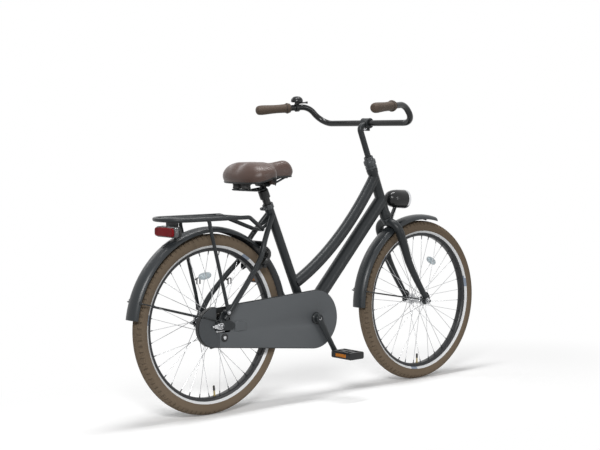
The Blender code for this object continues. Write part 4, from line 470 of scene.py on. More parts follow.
# Colour where untouched and where rubbed, roughness, and how strong the rest shows, with a darker colour of
# painted shade for creases and grooves
usual = dict(dust=(0.2, 0.19, 0.17), wearScale=26, rubbedAmount=0.25, dustAmount=0.05, spread=0.12,
             specular=0.5, metallic=0, sockets={})
finishes = {
    "blackPaint": dict(colour=(0.021, 0.024, 0.026), rubbed=(0.026, 0.029, 0.031), roughness=0.34,
                       grain=1500, bump=0.1, dust=(0.06, 0.06, 0.06), specular=0.24),
    "tailPlastic": dict(colour=(0.04, 0.045, 0.05), rubbed=(0.048, 0.053, 0.058), roughness=0.46,
                        grain=2100, bump=0.14, specular=0.35),
    "guardPaint": dict(colour=(0.024, 0.028, 0.031), rubbed=(0.03, 0.034, 0.037), roughness=0.33,
                       grain=1300, bump=0.06, dust=(0.07, 0.07, 0.07), dustAmount=0.06, specular=0.36),
    "casePlastic": dict(colour=(0.072, 0.079, 0.085), rubbed=(0.08, 0.087, 0.093), roughness=0.55,
                        grain=2100, bump=0.14, dust=(0.15, 0.15, 0.15)),
    "blackPlastic": dict(colour=(0.011, 0.012, 0.013), rubbed=(0.021, 0.022, 0.023), roughness=0.42,
                         grain=1700, bump=0.12, specular=0.3),
    "glossBlack": dict(colour=(0.006, 0.007, 0.008), rubbed=(0.012, 0.013, 0.014), roughness=0.2,
                       spread=0.05, specular=0.34),
    "blackRim": dict(colour=(0.01, 0.011, 0.013), rubbed=(0.03, 0.031, 0.033), roughness=0.34,
                     rubbedAmount=0.15, grain=1200, bump=0.05, specular=0.35),
    "steel": dict(colour=(0.5, 0.505, 0.515), rubbed=(0.36, 0.365, 0.37), roughness=0.27, metallic=1,
                  dustAmount=0.04, grain=1600, bump=0.05),
    "chrome": dict(colour=(0.68, 0.685, 0.7), rubbed=(0.58, 0.58, 0.59), roughness=0.1, spread=0.06,
                   metallic=1, dustAmount=0.03),
    "darkSteel": dict(colour=(0.06, 0.064, 0.068), rubbed=(0.11, 0.11, 0.115), roughness=0.38, metallic=0.9,
                      grain=1200, bump=0.1),
    "chainSteel": dict(colour=(0.22, 0.21, 0.2), rubbed=(0.1, 0.09, 0.08), roughness=0.36, metallic=1,
                       rubbedAmount=0.6, dustAmount=0.2, dust=(0.05, 0.04, 0.03)),
    "brass": dict(colour=(0.45, 0.36, 0.17), rubbed=(0.36, 0.3, 0.16), roughness=0.28, metallic=1),
    "blackRubber": dict(colour=(0.018, 0.018, 0.018), rubbed=(0.034, 0.033, 0.032), roughness=0.72,
                        grain=1100, bump=0.3),
    "stripeWhite": dict(colour=(0.8, 0.81, 0.82), rubbed=(0.7, 0.71, 0.72), roughness=0.3,
                        dustAmount=0.06, grain=2600, bump=0.06),
    "stripeGrey": dict(colour=(0.25, 0.3, 0.38), rubbed=(0.33, 0.38, 0.45), roughness=0.35,
                       grain=2600, bump=0.06),
    # The tyre and both leathers carry a darker colour that is painted shade, laid into their grooves and
    # creases
    "tyreRubber": dict(colour=(0.15, 0.112, 0.076), rubbed=(0.195, 0.15, 0.106), roughness=0.8,
                       wearScale=45, rubbedAmount=0.4, dustAmount=0.12, dust=(0.17, 0.15, 0.12),
                       recessShade=(0.03, 0.022, 0.015), bump=0.55, specular=0.25),
    "saddleLeather": dict(colour=(0.07, 0.036, 0.026), rubbed=(0.092, 0.052, 0.04), roughness=0.36,
                          spread=0.08, wearScale=14, rubbedAmount=0.55, recessShade=(0.036, 0.018, 0.013),
                          pebbles=620, bump=0.2),
    "gripLeather": dict(colour=(0.078, 0.054, 0.038), rubbed=(0.13, 0.096, 0.07), roughness=0.6,
                        wearScale=40, rubbedAmount=0.5, dustAmount=0.08, recessShade=(0.05, 0.034, 0.024),
                        pebbles=900, bump=0.35, specular=0.3),
    "redLens": dict(colour=(0.2, 0.002, 0.005), rubbed=(0.05, 0.001, 0.002), roughness=0.3,
                    rubbedAmount=0.9, dustAmount=0, pitch=0.0062, bump=0.5, specular=0.12),
    "amberLens": dict(colour=(0.46, 0.15, 0.01), rubbed=(0.1, 0.03, 0.004), roughness=0.26, wearScale=90,
                      rubbedAmount=0.85, dustAmount=0, pitch=0.004, bump=0.5, specular=0.2),
    "paleLens": dict(colour=(0.58, 0.66, 0.7), rubbed=(0.66, 0.74, 0.78), roughness=0.12, dustAmount=0.04,
                     pitch=0.0034, bump=0.5, sockets={"Transmission Weight": 0.3, "IOR": 1.49,
                                                      "Coat Weight": 0.5, "Coat Roughness": 0.05}),
    "clearShell": dict(colour=(0.6, 0.62, 0.64), rubbed=(0.7, 0.72, 0.74), roughness=0.1, dustAmount=0.03,
                       pitch=0.006, bump=0.15, sockets={"Transmission Weight": 0.6, "IOR": 1.49}),
    "smokedShell": dict(colour=(0.16, 0.165, 0.17), rubbed=(0.24, 0.245, 0.25), roughness=0.14,
                        dustAmount=0.03, pitch=0.006, bump=0.15,
                        sockets={"Transmission Weight": 0.35, "IOR": 1.45}),
}


def addGroup(tree, group, **settings):
    return addNode(tree, "Group", node_tree=groups[group], **settings).outputs


def makeFinish(name, spec, middle=None):
    # Worn colour and roughness, with a bump of grain, leather, cells or a tyre's pattern, and painted shade
    # darkening the leather's creases and the tyre's grooves
    spec = {**usual, **spec}
    material = bpy.data.materials.new(name)
    material.use_nodes = True
    tree = material.node_tree
    shader = tree.nodes["Principled BSDF"].inputs
    worn = addGroup(
        tree, "worn", Colour=(*spec["colour"], 1), Rubbed=(*spec["rubbed"], 1), Dust=(*spec["dust"], 1),
        Scale=spec["wearScale"], Rubbed_Amount=spec["rubbedAmount"], Dust_Amount=spec["dustAmount"],
        Roughness=spec["roughness"], Spread=spec["spread"])
    connect(shader["Base Color"], worn["Colour"])
    connect(shader["Roughness"], worn["Roughness"])
    fixed = {"Metallic": spec["metallic"], "Specular IOR Level": spec["specular"], **spec["sockets"]}
    for label, value in fixed.items():
        shader[label].default_value = value
    if "grain" in spec:
        relief, depth = addGroup(tree, "grain", Scale=spec["grain"], Waves=0.4), 0.0004
    elif "pitch" in spec:
        relief, depth = addGroup(tree, "cells", Pitch=spec["pitch"]), 0.001
    elif "pebbles" in spec:
        relief, depth = addGroup(tree, "leather", Scale=spec["pebbles"], Crease_Width=0.16), 0.0005
        shadeMask = calculate("MULTIPLY", relief["Crease"], 0.45)
    elif middle is not None:
        place = addNode(tree, "Mapping", Vector=objectPlace(tree), Location=-(middle + shift)).outputs[0]
        relief, depth = addGroup(tree, "tyre", Vector=place), 0.0009
        shadeMask = calculate("MULTIPLY", relief["Grooves"], 0.55)
    else:
        return material
    bump = addNode(tree, "Bump", Strength=spec["bump"], Distance=depth, Height=relief["Height"])
    connect(shader["Normal"], bump.outputs["Normal"])
    # Painted shade: the creases of leather and the cut grooves of a tyre are blended towards the darker
    # colour
    if "recessShade" in spec:
        connect(shader["Base Color"], blendColours(shadeMask, worn["Colour"], (*spec["recessShade"], 1)))
    return material


materials = {name: makeFinish(name, spec) for name, spec in finishes.items() if name != "tyreRubber"}
print("finishes ready:", len(materials))

# Floor, backdrop and plain soft light
stage = dict(floorSize=14, floorColour=(0.98, 0.98, 0.98), stretch=0.45, plainFrom=0.34, plainTo=0.85,
             lift=0.11, worldLight=0.16)
# Each lamp's place, what it points at, its width and height, and its power
lamps = {"overhead": ((0, -0.1, 3.2), (0, 0, 0), 2.6, 0.4, 60),
         "key": ((-2.9, -2.7, 2.3), (0, 0, 0.5), 1.3, 0.8, 100),
         "strip": ((1.4, -3.4, 1.2), (0.1, 0, 0.5), 0.35, 1.9, 18),
         "far": ((-0.3, 3.2, 2.7), (0, 0, 0.7), 2.8, 0.4, 12)}


def whiteForCamera(tree):
    # Strength 1 wherever the backdrop is seen, straight on or in metal and glass
    path = addNode(tree, "LightPath").outputs
    seen = calculate("ADD", path["Is Camera Ray"], path["Is Glossy Ray"])
    seen = calculate("ADD", seen, path["Is Transmission Ray"], clamp=True)
    return calculate("MULTIPLY_ADD", seen, 1 - stage["worldLight"], stage["worldLight"])


def buildStage():
    bm = bmesh.new()
    bmesh.ops.create_grid(bm, x_segments=4, y_segments=4, size=stage["floorSize"])
    floor = takeOut("floor", bm, Vector())
    material = bpy.data.materials.new("floor")
    material.use_nodes = True
    tree = material.node_tree
    tree.nodes.remove(tree.nodes["Principled BSDF"])
    paint = addNode(tree, "BsdfDiffuse", Color=(*stage["floorColour"], 1))
    plain = addNode(tree, "Emission", Strength=whiteForCamera(tree))
    flat = calculate("MULTIPLY", objectPlace(tree), (stage["stretch"], 1, 0), kind="VectorMath")
    distance = addNode(tree, "VectorMath", operation="LENGTH", Vector=flat).outputs["Value"]
    share = addNode(tree, "MapRange", interpolation_type="SMOOTHSTEP", Value=distance,
                    From_Min=stage["plainFrom"], From_Max=stage["plainTo"])
    # Seen by the camera, the paint is lifted a little, so that only shadows stay grey.
    seen = addNode(tree, "LightPath").outputs["Is Camera Ray"]
    lift = addNode(tree, "Emission", Strength=calculate("MULTIPLY", seen, stage["lift"]))
    lifted = feed(addNode(tree, "AddShader"), paint.outputs[0], lift.outputs[0])
    mixed = feed(addNode(tree, "MixShader"), share.outputs[0], lifted, plain.outputs[0])
    connect(tree.nodes["Material Output"].inputs["Surface"], mixed)
    floor.data.materials.append(material)
    world = bpy.data.worlds.new("studio")
    bpy.context.scene.world = world
    world.use_nodes = True
    background = world.node_tree.nodes["Background"].inputs
    background["Color"].default_value = (1, 1, 1, 1)
    connect(background["Strength"], whiteForCamera(world.node_tree))


buildStage()
for name, (place, target, width, height, power) in lamps.items():
    data = bpy.data.lights.new(name, "AREA")
    data.shape = "RECTANGLE"
    data.size = width
    data.size_y = height
    data.energy = power
    light = addToScene(name, data)
    aimFrom(light, place, Vector(target) - Vector(place))
    light.visible_camera = False
print("stage and lamps ready")

# Places that several pieces share, from the rear axle's place on the ground
layout = dict(axleHeight=0.305318, wheelbase=1.0166, headAngle=67.5, seatAngle=66.55, rake=0.037,
              bracketAhead=0.4345, bracketHeight=0.2925)
rearAxle = up * layout["axleHeight"]
frontAxle = rearAxle + ahead * layout["wheelbase"]
bracket = Vector((layout["bracketAhead"], 0, layout["bracketHeight"]))
carrierMount = Vector((0.214, 0, 0.616))
steerUp = polar(Vector(), 1, 180 - layout["headAngle"])
steerAhead = polar(Vector(), 1, 90 - layout["headAngle"])
steerOrigin = frontAxle - steerAhead * layout["rake"]
seatUp = polar(Vector(), 1, 180 - layout["seatAngle"])
seatBack = Vector((-seatUp.z, 0, seatUp.x))


def beside(place, side, x, y, z):
    return place + Vector((x, side * y, z))


def steerPoint(forward, out, along):
    return steerOrigin + steerAhead * forward + left * out + steerUp * along


def steerTurn(along):
    return axesAt(steerPoint(0, 0, along), steerAhead, left, steerUp)


def seatPoint(along, back=0, out=0):
    return bracket + seatUp * along + seatBack * back + left * out


# Tyre: a carcass with cut tread, and a pale stripe on each flank
tyre = dict(
    steps=150, treadFrom=0.289, treadWidth=0.0053, cutDepth=0.0011, cutMargin=0.0007, stripeRise=0.0004,
    section=mm((254, 12.4), (258.6, 13.4), (266.8, 20), (275, 24), (284.5, 25), (290.5, 24), (295.5, 21),
               (299.5, 16.5), (302.4, 11.2), (304.4, 5.6), (305.1, 0)),
    inside=mm((298, 0), (295, 12), (284.5, 20.8), (270, 18), (254.5, 8.4)),
    patches=dict(rear=(57, 172), front=(12, 140, 262)))


def makeTyre(end, centre):
    outside, inside, steps = tyre["section"], tyre["inside"], tyre["steps"]
    section = outside + mirrored(outside[:-1]) + mirrored(inside) + inside[1:]
    bm = shapeOf([(addTurned, section, acrossAt(centre), steps)])
    bmesh.ops.remove_doubles(bm, verts=bm.verts[:], dist=0.000004)
    bmesh.ops.recalc_face_normals(bm, faces=bm.faces[:])
    blocks = []
    for face in bm.faces:
        middle = face.calc_center_median() - centre
        outward = Vector((middle.x, 0, middle.z))
        if outward.length >= tyre["treadFrom"] and face.normal.dot(outward) >= 0:
            step = round(degrees(atan2(middle.z, middle.x)) / 360 * steps - 0.5)
            if (step + round(abs(middle.y) / tyre["treadWidth"])) % 2 == 0:
                blocks.append(face)
    bmesh.ops.inset_individual(
        bm, faces=blocks, thickness=tyre["cutMargin"], depth=-tyre["cutDepth"], use_even_offset=True)
    materials[end + "Tyre"] = makeFinish(end + "Tyre", finishes["tyreRubber"], centre)
    makePiece(end + "TyreRubber", end + "Tyre", bm, end + "_tyre", crease=50)
    rise = tyre["stripeRise"]
    (r1, y1), (r2, y2) = outside[1:3]
    half = [(r1, y1), ((r1 + r2) / 2, (y1 + y2) / 2 + rise * 0.6), (r2, y2)]
    bm = bmesh.new()
    for side in (-1, 1):
        over = [(r - rise * 0.5, side * (y + rise)) for r, y in half]
        under = [(r + rise * 0.5, side * (y - rise)) for r, y in reversed(half)]
        addTurned(bm, over + under, acrossAt(centre), steps)
    for face in bm.faces:
        middle = face.calc_center_median() - centre
        angle = degrees(atan2(middle.z, middle.x))
        if any(abs((angle - patch + 180) % 360 - 180) < 3.6 for patch in tyre["patches"][end]):
            face.material_index = 1
    makePiece(end + "TyreStripe", "stripeWhite stripeGrey", bm, "", end + "_wheel", 50)


# Rim: a closed black section with its valve, given as depth inside the rim and radius
rim = dict(
    section=mm((246.5, 4.5), (247.2, 9.8), (249.6, 12.8), (254, 14.6), (257.4, 15.1), (258.2, 14.6),
               (257.8, 13.4), (255.5, 13), (252.8, 11), (252, 5)),
    valveStem=mm((-4, 3.4), (1, 3.4), (1.2, 5.2), (3.2, 5.2), (3.4, 3.1), (19, 3.1)),
    valveCap=mm((18.5, 3.4), (19, 4), (33, 3.8), (35.5, 3), (36, 1.4)))


def makeRim(end, centre, valveAngle):
    makePiece(end + "RimHoop", "blackRim", [(addTurned, bothSides(rim["section"]), acrossAt(centre), 120)],
              end + "_rim", crease=28)
    root = polar(centre, rim["section"][0][0], valveAngle)
    inward = polar(Vector(), -1, valveAngle)
    for part, finish in (("Stem", "brass"), ("Cap", "blackRubber")):
        makePiece(end + "Valve" + part, finish, [(addTapered, root, inward, rim["valve" + part], 16)],
                  "", end + "_wheel", bevel=0.0002)


# Spokes: eighteen a flange, each second one leaning the other way across three more
lacing = dict(perFlange=18, radius=0.00098, crossings=3, rimRadius=0.2466, rimOut=0.0014, bend=0.0017,
              head=0.003, nippleLength=0.0125, nippleRadius=0.0021)
# Hub shells: radius and distance from the middle
hubs = dict(
    rear=dict(flangeRadius=0.0335, flangeOut=0.026, turn=-5, profile=mm(
        (5.8, 35.6), (13.5, 35.7), (18, 35.2), (20.5, 33.5), (22.2, 30.8), (24.8, 29), (26.2, 27.4),
        (32.8, 27.3), (33.5, 26.8), (33.5, 25.2), (32.8, 24.7), (28, 24.3), (26.8, 22.5), (26.6, 12),
        (27.2, 11.2), (27.2, 6), (26.6, 5.2))),
    front=dict(flangeRadius=0.02, flangeOut=0.03, turn=0, profile=mm(
        (5.8, 35.7), (8.2, 35.8), (9.2, 35), (9.8, 32.2), (12, 31.3), (19.6, 31.2), (20, 30.7),
        (20, 29.2), (19.5, 28.8), (13.5, 28.5), (11.8, 26.5), (10.8, 20), (10.4, 6))))


def makeHubAndSpokes(end, centre):
    hub = hubs[end]
    makePiece(end + "HubShell", "steel", [(addTurned, bothSides(hub["profile"]), acrossAt(centre), 64)],
              end + "_hub_and_spokes", crease=30)
    step = 360 / lacing["perFlange"]
    wires, nipples = [], []
    for side in (-1, 1):
        for index in range(lacing["perFlange"]):
            lean = -1 if index % 2 else 1
            hole = hub["turn"] + step * (index + (0.25 if side < 0 else 0.75))
            out = side * (hub["flangeOut"] + lean * lacing["bend"])
            start = polar(centre, hub["flangeRadius"] - 0.0028, hole, out)
            stop = polar(centre, lacing["rimRadius"], hole + lean * lacing["crossings"] * step,
                         side * lacing["rimOut"])
            along = (stop - start).normalized()
            head = left * (side * lean * lacing["head"])
            wires.append((addSweep, [start - head, start + head / 3, start + along * 0.0016, stop],
                          lacing["radius"], 6))
            foot = along * -lacing["nippleLength"]
            rings = [(1, 0.62), (0.88, 0.8), (0.38, 0.82), (0.34, 1), (0, 1)]
            nipples.append((addTapered, stop, foot, scaled(rings, 1, lacing["nippleRadius"]), 8))
    makePiece(end + "Spokes", "steel", wires, "", end + "_wheel", 60)
    makePiece(end + "Nipples", "darkSteel", nipples, "", end + "_wheel", 40)


# Spoke reflectors: an oval of clear plastic on each wheel, drawn out to a rounded slab
reflector = dict(radius=0.165, length=0.052, height=0.024, depth=0.0085, slab=0.7, rear=96, front=62)


def makeSpokeReflector(end, centre):
    turn = Matrix.Translation(centre) @ Matrix.Rotation(radians(90 - reflector[end]), 4, "Y")
    half = reflector["depth"] / 2
    bm = bmesh.new()
    rings = []
    for level, size in ((-1, 0.84), (-0.7, 0.97), (0, 1), (0.7, 0.97), (1, 0.84)):
        wide, high = reflector["length"] / 2 * size, reflector["height"] / 2 * size
        place = turn @ Matrix.Translation((0, level * half, reflector["radius"]))
        made = bmesh.ops.create_circle(
            bm, segments=36, radius=1.0,
            matrix=place @ Matrix.Rotation(pi / 2, 4, "X") @ Matrix.Diagonal((wide, high, 1, 1)))
        for vert in made["verts"]:
            local = turn.inverted() @ vert.co
            local.x = copysign(wide * abs(local.x / wide) ** reflector["slab"], local.x)
            vert.co = turn @ local
        rings.append(list({edge for vert in made["verts"] for edge in vert.link_edges}))
    joinRings(bm, rings)
    makePiece(end + "SpokeReflectorLens", "paleLens", bm, end + "_spoke_reflector", crease=40)


for end, centre, valveAngle in (("rear", rearAxle, 275), ("front", frontAxle, 270)):
    makeTyre(end, centre)
    makeRim(end, centre, valveAngle)
    makeHubAndSpokes(end, centre)
    makeSpokeReflector(end, centre)
print("wheels ready")

# Frame tubes: down tube, seat tube, top tube, head tube and the bottom bracket shell
tubes = dict(down=0.025, seat=0.016, top=0.021, headFrom=0.3776, headTo=0.5563, topAt=0.5303, seatTo=0.444,
             seatStay=0.0092, chainStay=0.008, shellHalf=0.034, steererBore=0.015)
downTube = makePiece(
    "downTube", "blackPaint",
    [(addSweep, [bracket, steerPoint(0, 0, tubes["headFrom"] + 0.06)], tubes["down"], 48)], "frame")
topHead, topSeat = steerPoint(0, 0, tubes["topAt"]), seatPoint(0.1335)
topCurve = bezierPath(topHead, polar(topHead, -0.2, 56), polar(topSeat, 0.16, 26), topSeat, 30)
upperTubes = makePiece("seatAndTopTubes", "blackPaint", [
    (addSweep, [bracket, seatPoint(tubes["seatTo"])], tubes["seat"], 40),
    (addSweep, topCurve, tubes["top"], 44)])
for piece in (downTube, upperTubes):
    cutAway(piece, [(addSweep, [steerPoint(0, 0, 0.355), steerPoint(0, 0, 0.6)], tubes["steererBore"], 32)])
headHalf = (tubes["headTo"] - tubes["headFrom"]) / 2
headTube = [(0.0156, headHalf), (0.0203, headHalf), (0.0206, headHalf - 0.0015), (0.0206, headHalf - 0.0075),
            (0.019, headHalf - 0.01)]
makePiece("headTube", "blackPaint",
          [(addTurned, bothSides(headTube), steerTurn(tubes["headFrom"] + headHalf), 48)])
shellHalf = tubes["shellHalf"]
shell = [(0.015, shellHalf), (0.0196, shellHalf), (0.0205, shellHalf - 0.001), (0.0205, 0)]
makePiece("bracketShell", "blackPaint", [(addTurned, bothSides(shell), acrossAt(bracket))])

# Stays, dropouts and the small parts brazed to them
dropout = dict(
    outline=mm((-18, -13), (-10, -16.5), (40, -17), (52, -15), (58, -12), (61, -4), (60, 4), (48, 12.5),
               (40, 16), (34, 22), (32, 30), (26, 46), (20, 48.8), (14, 49), (3, 44), (-4, 26), (-10, 18),
               (-18, 14), (-18, 5.3), (2, 5.3), (5.8, 3), (5.8, -3), (2, -5.3), (-18, -5.3)),
    near=0.0575, far=0.0635,
    stay=mm((14, 68, 22), (57.5, 74.5, 80), (122, 66, 149), (185, 50, 216), (214, 40, 279)),
    eye=(0.018, 0, 0.046))
stays = [(addSweep, [carrierMount - left * 0.027, carrierMount + left * 0.027], 0.007, 24)]
plates = []
for side in (-1, 1):
    route = [beside(rearAxle, side, *point) for point in dropout["stay"]]
    route.append(seatPoint(0.406, 0.004, side * 0.014))
    stays.append((addSweep, flowingPath(route), tubes["seatStay"], 24))
    start = beside(bracket, side, -0.006, 0.02, -0.006)
    stop = beside(rearAxle, side, 0.044, 0.054, -0.004)
    route = [start] + [start.lerp(stop, share) for share in (0.2, 0.42, 0.84)] + [stop]
    for point, out in zip(route[1:], (0.029, 0.036, 0.047)):
        point.y = side * out
    eye = beside(rearAxle, side, *dropout["eye"])
    brace = [seatPoint(0.389, 0, side * 0.008), carrierMount + left * (side * 0.018)]
    stays += [(addSweep, flowingPath(route), tubes["chainStay"], 24), (addSweep, brace, 0.0056, 16)]
    plates += [(addPlate, dropout["outline"], side * dropout["near"], side * dropout["far"], rearAxle),
               (addSweep, [eye + left * (side * 0.0605), eye + left * (side * 0.0815)], 0.008, 24)]
pivot = bracket + Vector((-0.09, 0.02, -0.034))
pivotReach = Vector((-0.114, 0.934, 0.307)).normalized() * 0.012
plates += [(addSweep, [pivot - pivotReach, pivot + pivotReach], 0.0105, 28),
           (addBlock, (pivot.x - 0.012, 0.012, pivot.z + 0.002), (pivot.x + 0.012, 0.036, pivot.z + 0.02))]
makePiece("stays", "blackPaint", stays)
makePiece("dropouts", "blackPaint", plates, bevel=0.0008)
bridgeTurn = Matrix.Translation(polar(rearAxle, 0.3323, 52)) @ Matrix.Rotation(radians(-52), 4, "Y")
makePiece("stayBridge", "blackPaint",
          [(addBlock, (-0.0025, -0.044, -0.014), (0.0025, 0.044, 0.014), bridgeTurn)], bevel=0.0008)
print("frame ready")

# Axles: stud, cone, washer and nut at each end
axles = dict(rear=(rearAxle, 0.0575, 0.0658, "frame_and_fittings"),
             front=(frontAxle, 0.05, 0.055, "steering"))
cone = mm((4.8, 0), (9.3, 0), (9.5, 0.4), (9.5, 4), (7.4, 6.4), (4.8, 6.4))
for end, (centre, inner, reach, body) in axles.items():
    stud = [(-reach - 0.014, 0.0038), (-reach - 0.0132, 0.0047), (reach + 0.0132, 0.0047),
            (reach + 0.014, 0.0038)]
    makePiece(end + "AxleStud", "darkSteel", [(addTapered, centre, left, stud, 24, up)], end + "_axle")
    nuts = []
    for side in (-1, 1):
        nuts += [(addTurned, cone, acrossAt(centre + left * (side * (inner - 0.0002)), -side), 28),
                 (addHexHead, centre + left * (side * (reach - 0.0002)), left * side, 0.009, 0.008)]
    makePiece(end + "AxleNuts", "steel", nuts, "", body, bevel=0.0003)

# Seat collar with its bolt
collar = dict(
    profile=mm((16.2, 428), (18.8, 428), (19.3, 428.6), (19.3, 444.4), (18.8, 445), (16.2, 445)),
    along=0.4365, boltBack=0.0233, reach=0.012)
forms = [(addTurned, collar["profile"], axesAt(bracket, -seatBack, left, seatUp))]
for side in (-1, 1):
    ear = [seatPoint(collar["along"], collar["boltBack"], side * out) for out in (0.0016, collar["reach"])]
    turn = (Matrix.Translation(seatPoint(collar["along"], 0.018, side * 0.0045))
            @ Matrix.Rotation(radians(layout["seatAngle"] - 90), 4, "Y"))
    forms += [(addSweep, ear, 0.0058, 24),
              (addBlock, (-0.0058, -0.0026, -0.006), (0.007, 0.0026, 0.006), turn)]
makePiece("seatCollarRing", "darkSteel", forms, "seat_collar", bevel=0.0004)
ends = [seatPoint(collar["along"], collar["boltBack"], side * collar["reach"]) for side in (-1, 1)]
makePiece("seatCollarBolt", "darkSteel", [
    (addSweep, ends, 0.0026, 16), (addHexHead, ends[0], -left, 0.004, 0.0045, False),
    (addHexHead, ends[1], left, 0.004, 0.0036, False)], bevel=0.0002)

# Headset: cups, and the locknut above them
headset = dict(
    cup=mm((13.5, 0.1), (20.6, 0.1), (21.3, 1), (21.5, 6), (20.8, 9.8), (19.6, 11.4), (13.5, 11.7)),
    nut=mm((13, 0), (20.5, 0), (21.5, 1.2), (21.5, 9), (20, 10.5), (19.2, 11.2), (19.2, 15), (22.2, 15.8),
           (22.5, 17), (22.5, 30), (21.5, 31.8), (17.8, 33), (17.2, 34.5), (17, 45), (16, 45.9),
           (13, 45.9)), nutAt=0.5684)
makePiece("headsetCups", "blackPaint", [
    (addTurned, headset["cup"], steerTurn(tubes["headTo"])),
    (addTurned, mirrored(headset["cup"]), steerTurn(tubes["headFrom"]))],
    "headset_lower_cup headset_upper_cup")
makePiece("headsetLocknut", "darkSteel", [(addTurned, headset["nut"], steerTurn(headset["nutAt"]))],
          "headset_locknut")

# Fork: both blades and the crown in one bent tube, the race, the steerer and the dropouts
fork = dict(
    levels=(0.02, 0.035, 0.05, 0.08, 0.115, 0.15, 0.185), half=0.053, crown=0.348, shoulder=0.045,
    thin=0.0105, thick=0.016, race=mm((0, 345), (17.1, 345), (19, 356), (20, 360), (20, 365), (19, 365.6),
                                      (0, 365.6)),
    end=mm((-26.2, -4), (-24, -9), (-17, -12.5), (-5.3, -12.5), (-5.3, 2), (-3, 5.6), (3, 5.6), (5.3, 2),
           (5.3, -12.5), (10, -12), (12.5, -9), (13.5, -2), (12.8, 10), (10, 20), (3, 29), (-4, 34),
           (-12, 35.2), (-20, 34), (-18.5, 20), (-18.5, 14), (-24, 12), (-26.2, 8)))
half, crown = fork["half"], fork["crown"]
blade = [Vector((layout["rake"] * (1 - level / 0.185) ** 1.25, -half, level)) for level in fork["levels"]]
arch = roundedPath([(0, -half, 0.24), (0, -half, crown), (0, half, crown), (0, half, 0.24)],
                   [fork["shoulder"]] * 2, 10)
forkPath = blade + arch + [Vector((x, -y, level)) for x, y, level in reversed(blade)]
sizes = [fork["thin"] + (fork["thick"] - fork["thin"]) * min(max((point.z - 0.02) / 0.24, 0), 1)
         for point in forkPath]
makePiece("forkBlades", "blackPaint",
          [(addSweep, [steerPoint(*point) for point in forkPath], sizes, 32, steerAhead)], "fork")
makePiece("forkRaceAndSteerer", "darkSteel", [
    (addTurned, fork["race"], steerTurn(0), 40),
    (addSweep, [steerPoint(0, 0, 0.34), steerPoint(0, 0, 0.59)], 0.0126, 28)], "", "steering")
makePiece("forkDropouts", "blackPaint",
          [(addPlate, fork["end"], side * 0.05, side * 0.055, frontAxle) for side in (-1, 1)],
          "", "steering", bevel=0.0007)
print("fork ready")

# Mudguards: a folded sheet with a raised middle and rolled edges, hung on wires
guard = dict(
    sheet=0.0016, rear=(2, 172.5), front=(75, 180.5),
    over=mm((329.5, 0), (329.1, 6.2), (328, 12.2), (326.4, 17.4), (323.8, 22.4), (320, 26.6),
            (315.8, 29.4), (313, 30.4), (311.8, 31), (311.1, 30.2)))
# Each wire's body, its axle, the place of its foot beside that, and the angle where it crosses the guard
guardWires = dict(rear=("frame_and_fittings", rearAxle, (-0.005, 0.0666, 0.018), 162),
                  front=("steering", frontAxle, (-0.019, 0.0581, 0.005), 169.5))
sheet, over = guard["sheet"], guard["over"]
under = [(r - sheet, max(y - sheet * 0.35, 0)) for r, y in over[:4]]
under += [(r - sheet * 0.75, y - sheet * 0.75) for r, y in over[4:6]]
under += [(r, y - sheet) for r, y in over[6:8]]
profile = mirrored(over) + over[1:] + under[::-1] + [(r, -y) for r, y in under[1:]]
for end, (body, centre, footPlace, angle) in guardWires.items():
    start, stop = guard[end]
    turn = (Matrix.Translation(centre) @ Matrix.Rotation(radians(-stop), 4, "Y")
            @ Matrix.Rotation(-pi / 2, 4, "X"))
    form = (addTurned, profile, turn, int((stop - start) * 0.8), stop - start)
    makePiece(end + "GuardSheet", "guardPaint", [form], end + "_mudguard", crease=30)
    feet = [beside(centre, side, *footPlace) for side in (-1, 1)]
    bends = [polar(centre, 0.3184, angle, side * 0.041) for side in (-1, 1)]
    route = roundedPath([feet[0], bends[0], bends[1], feet[1]], [0.008, 0.008], 6)
    wire, screws = [(addSweep, route, 0.0022, 14)], []
    for side, foot in zip((-1, 1), feet):
        outward = left * side
        wire.append((addSweep, [foot - left * 0.0022, foot + left * 0.0022], 0.005, 20, up))
        screws += [(addHexHead, foot + outward * 0.002, outward, 0.0034, 0.003, False),
                   (addScrewHead, polar(centre, 0.317, angle, side * 0.0286), outward, 0.0042, 0.0018),
                   (addScrewHead, polar(centre, 0.3184, angle - 1.1, side * 0.0286), outward, 0.003, 0.0014)]
    makePiece(end + "GuardWire", "blackPaint", wire, end + "_mudguard_stay")
    makePiece(end + "GuardScrews", "darkSteel", screws, "", body, bevel=0.0002)
# The lug that holds the front guard to the crown
toCrown = steerPoint(0, 0, crown) - frontAxle
lug = [frontAxle + toCrown.normalized() * level for level in (0.329, toCrown.length - 0.014)]
makePiece("crownLug", "blackPaint", [(addSweep, lug, 0.007, 24)], "", "steering")
print("mudguards ready")

# Headlamp: glossy shell, bright front ring, clear lens over a mirror, and its bracket
lamp = dict(
    radius=0.036, length=0.104, dip=3.6,
    shell=[(0, 0), (0.26, 0.008), (0.45, 0.03), (0.62, 0.072), (0.76, 0.14), (0.86, 0.235), (0.93, 0.36),
           (0.965, 0.5), (0.975, 0.66), (0.975, 0.85), (0.9, 0.85), (0.9, 0.5), (0.7, 0.2), (0, 0.1)],
    ring=[(0.955, 0.825), (0.995, 0.835), (1, 0.85), (1, 0.905), (0.985, 0.93), (0.945, 0.945),
          (0.905, 0.93), (0.905, 0.905), (0.945, 0.88), (0.945, 0.85)],
    lens=[(0, 0.99), (0.35, 0.984), (0.65, 0.962), (0.9, 0.915), (0.9, 0.885), (0.62, 0.932), (0.3, 0.955),
          (0, 0.96)],
    mirror=[(0, 0.42), (0.3, 0.46), (0.6, 0.6), (0.86, 0.86), (0.9, 0.86), (0.64, 0.58), (0.32, 0.42),
            (0, 0.38)])
aimLamp = polar(Vector(), 1, -lamp["dip"])
lampTail = steerPoint(0.032, 0, 0.431)
lampTurn = axesAt(lampTail, left, aimLamp.cross(left), aimLamp)
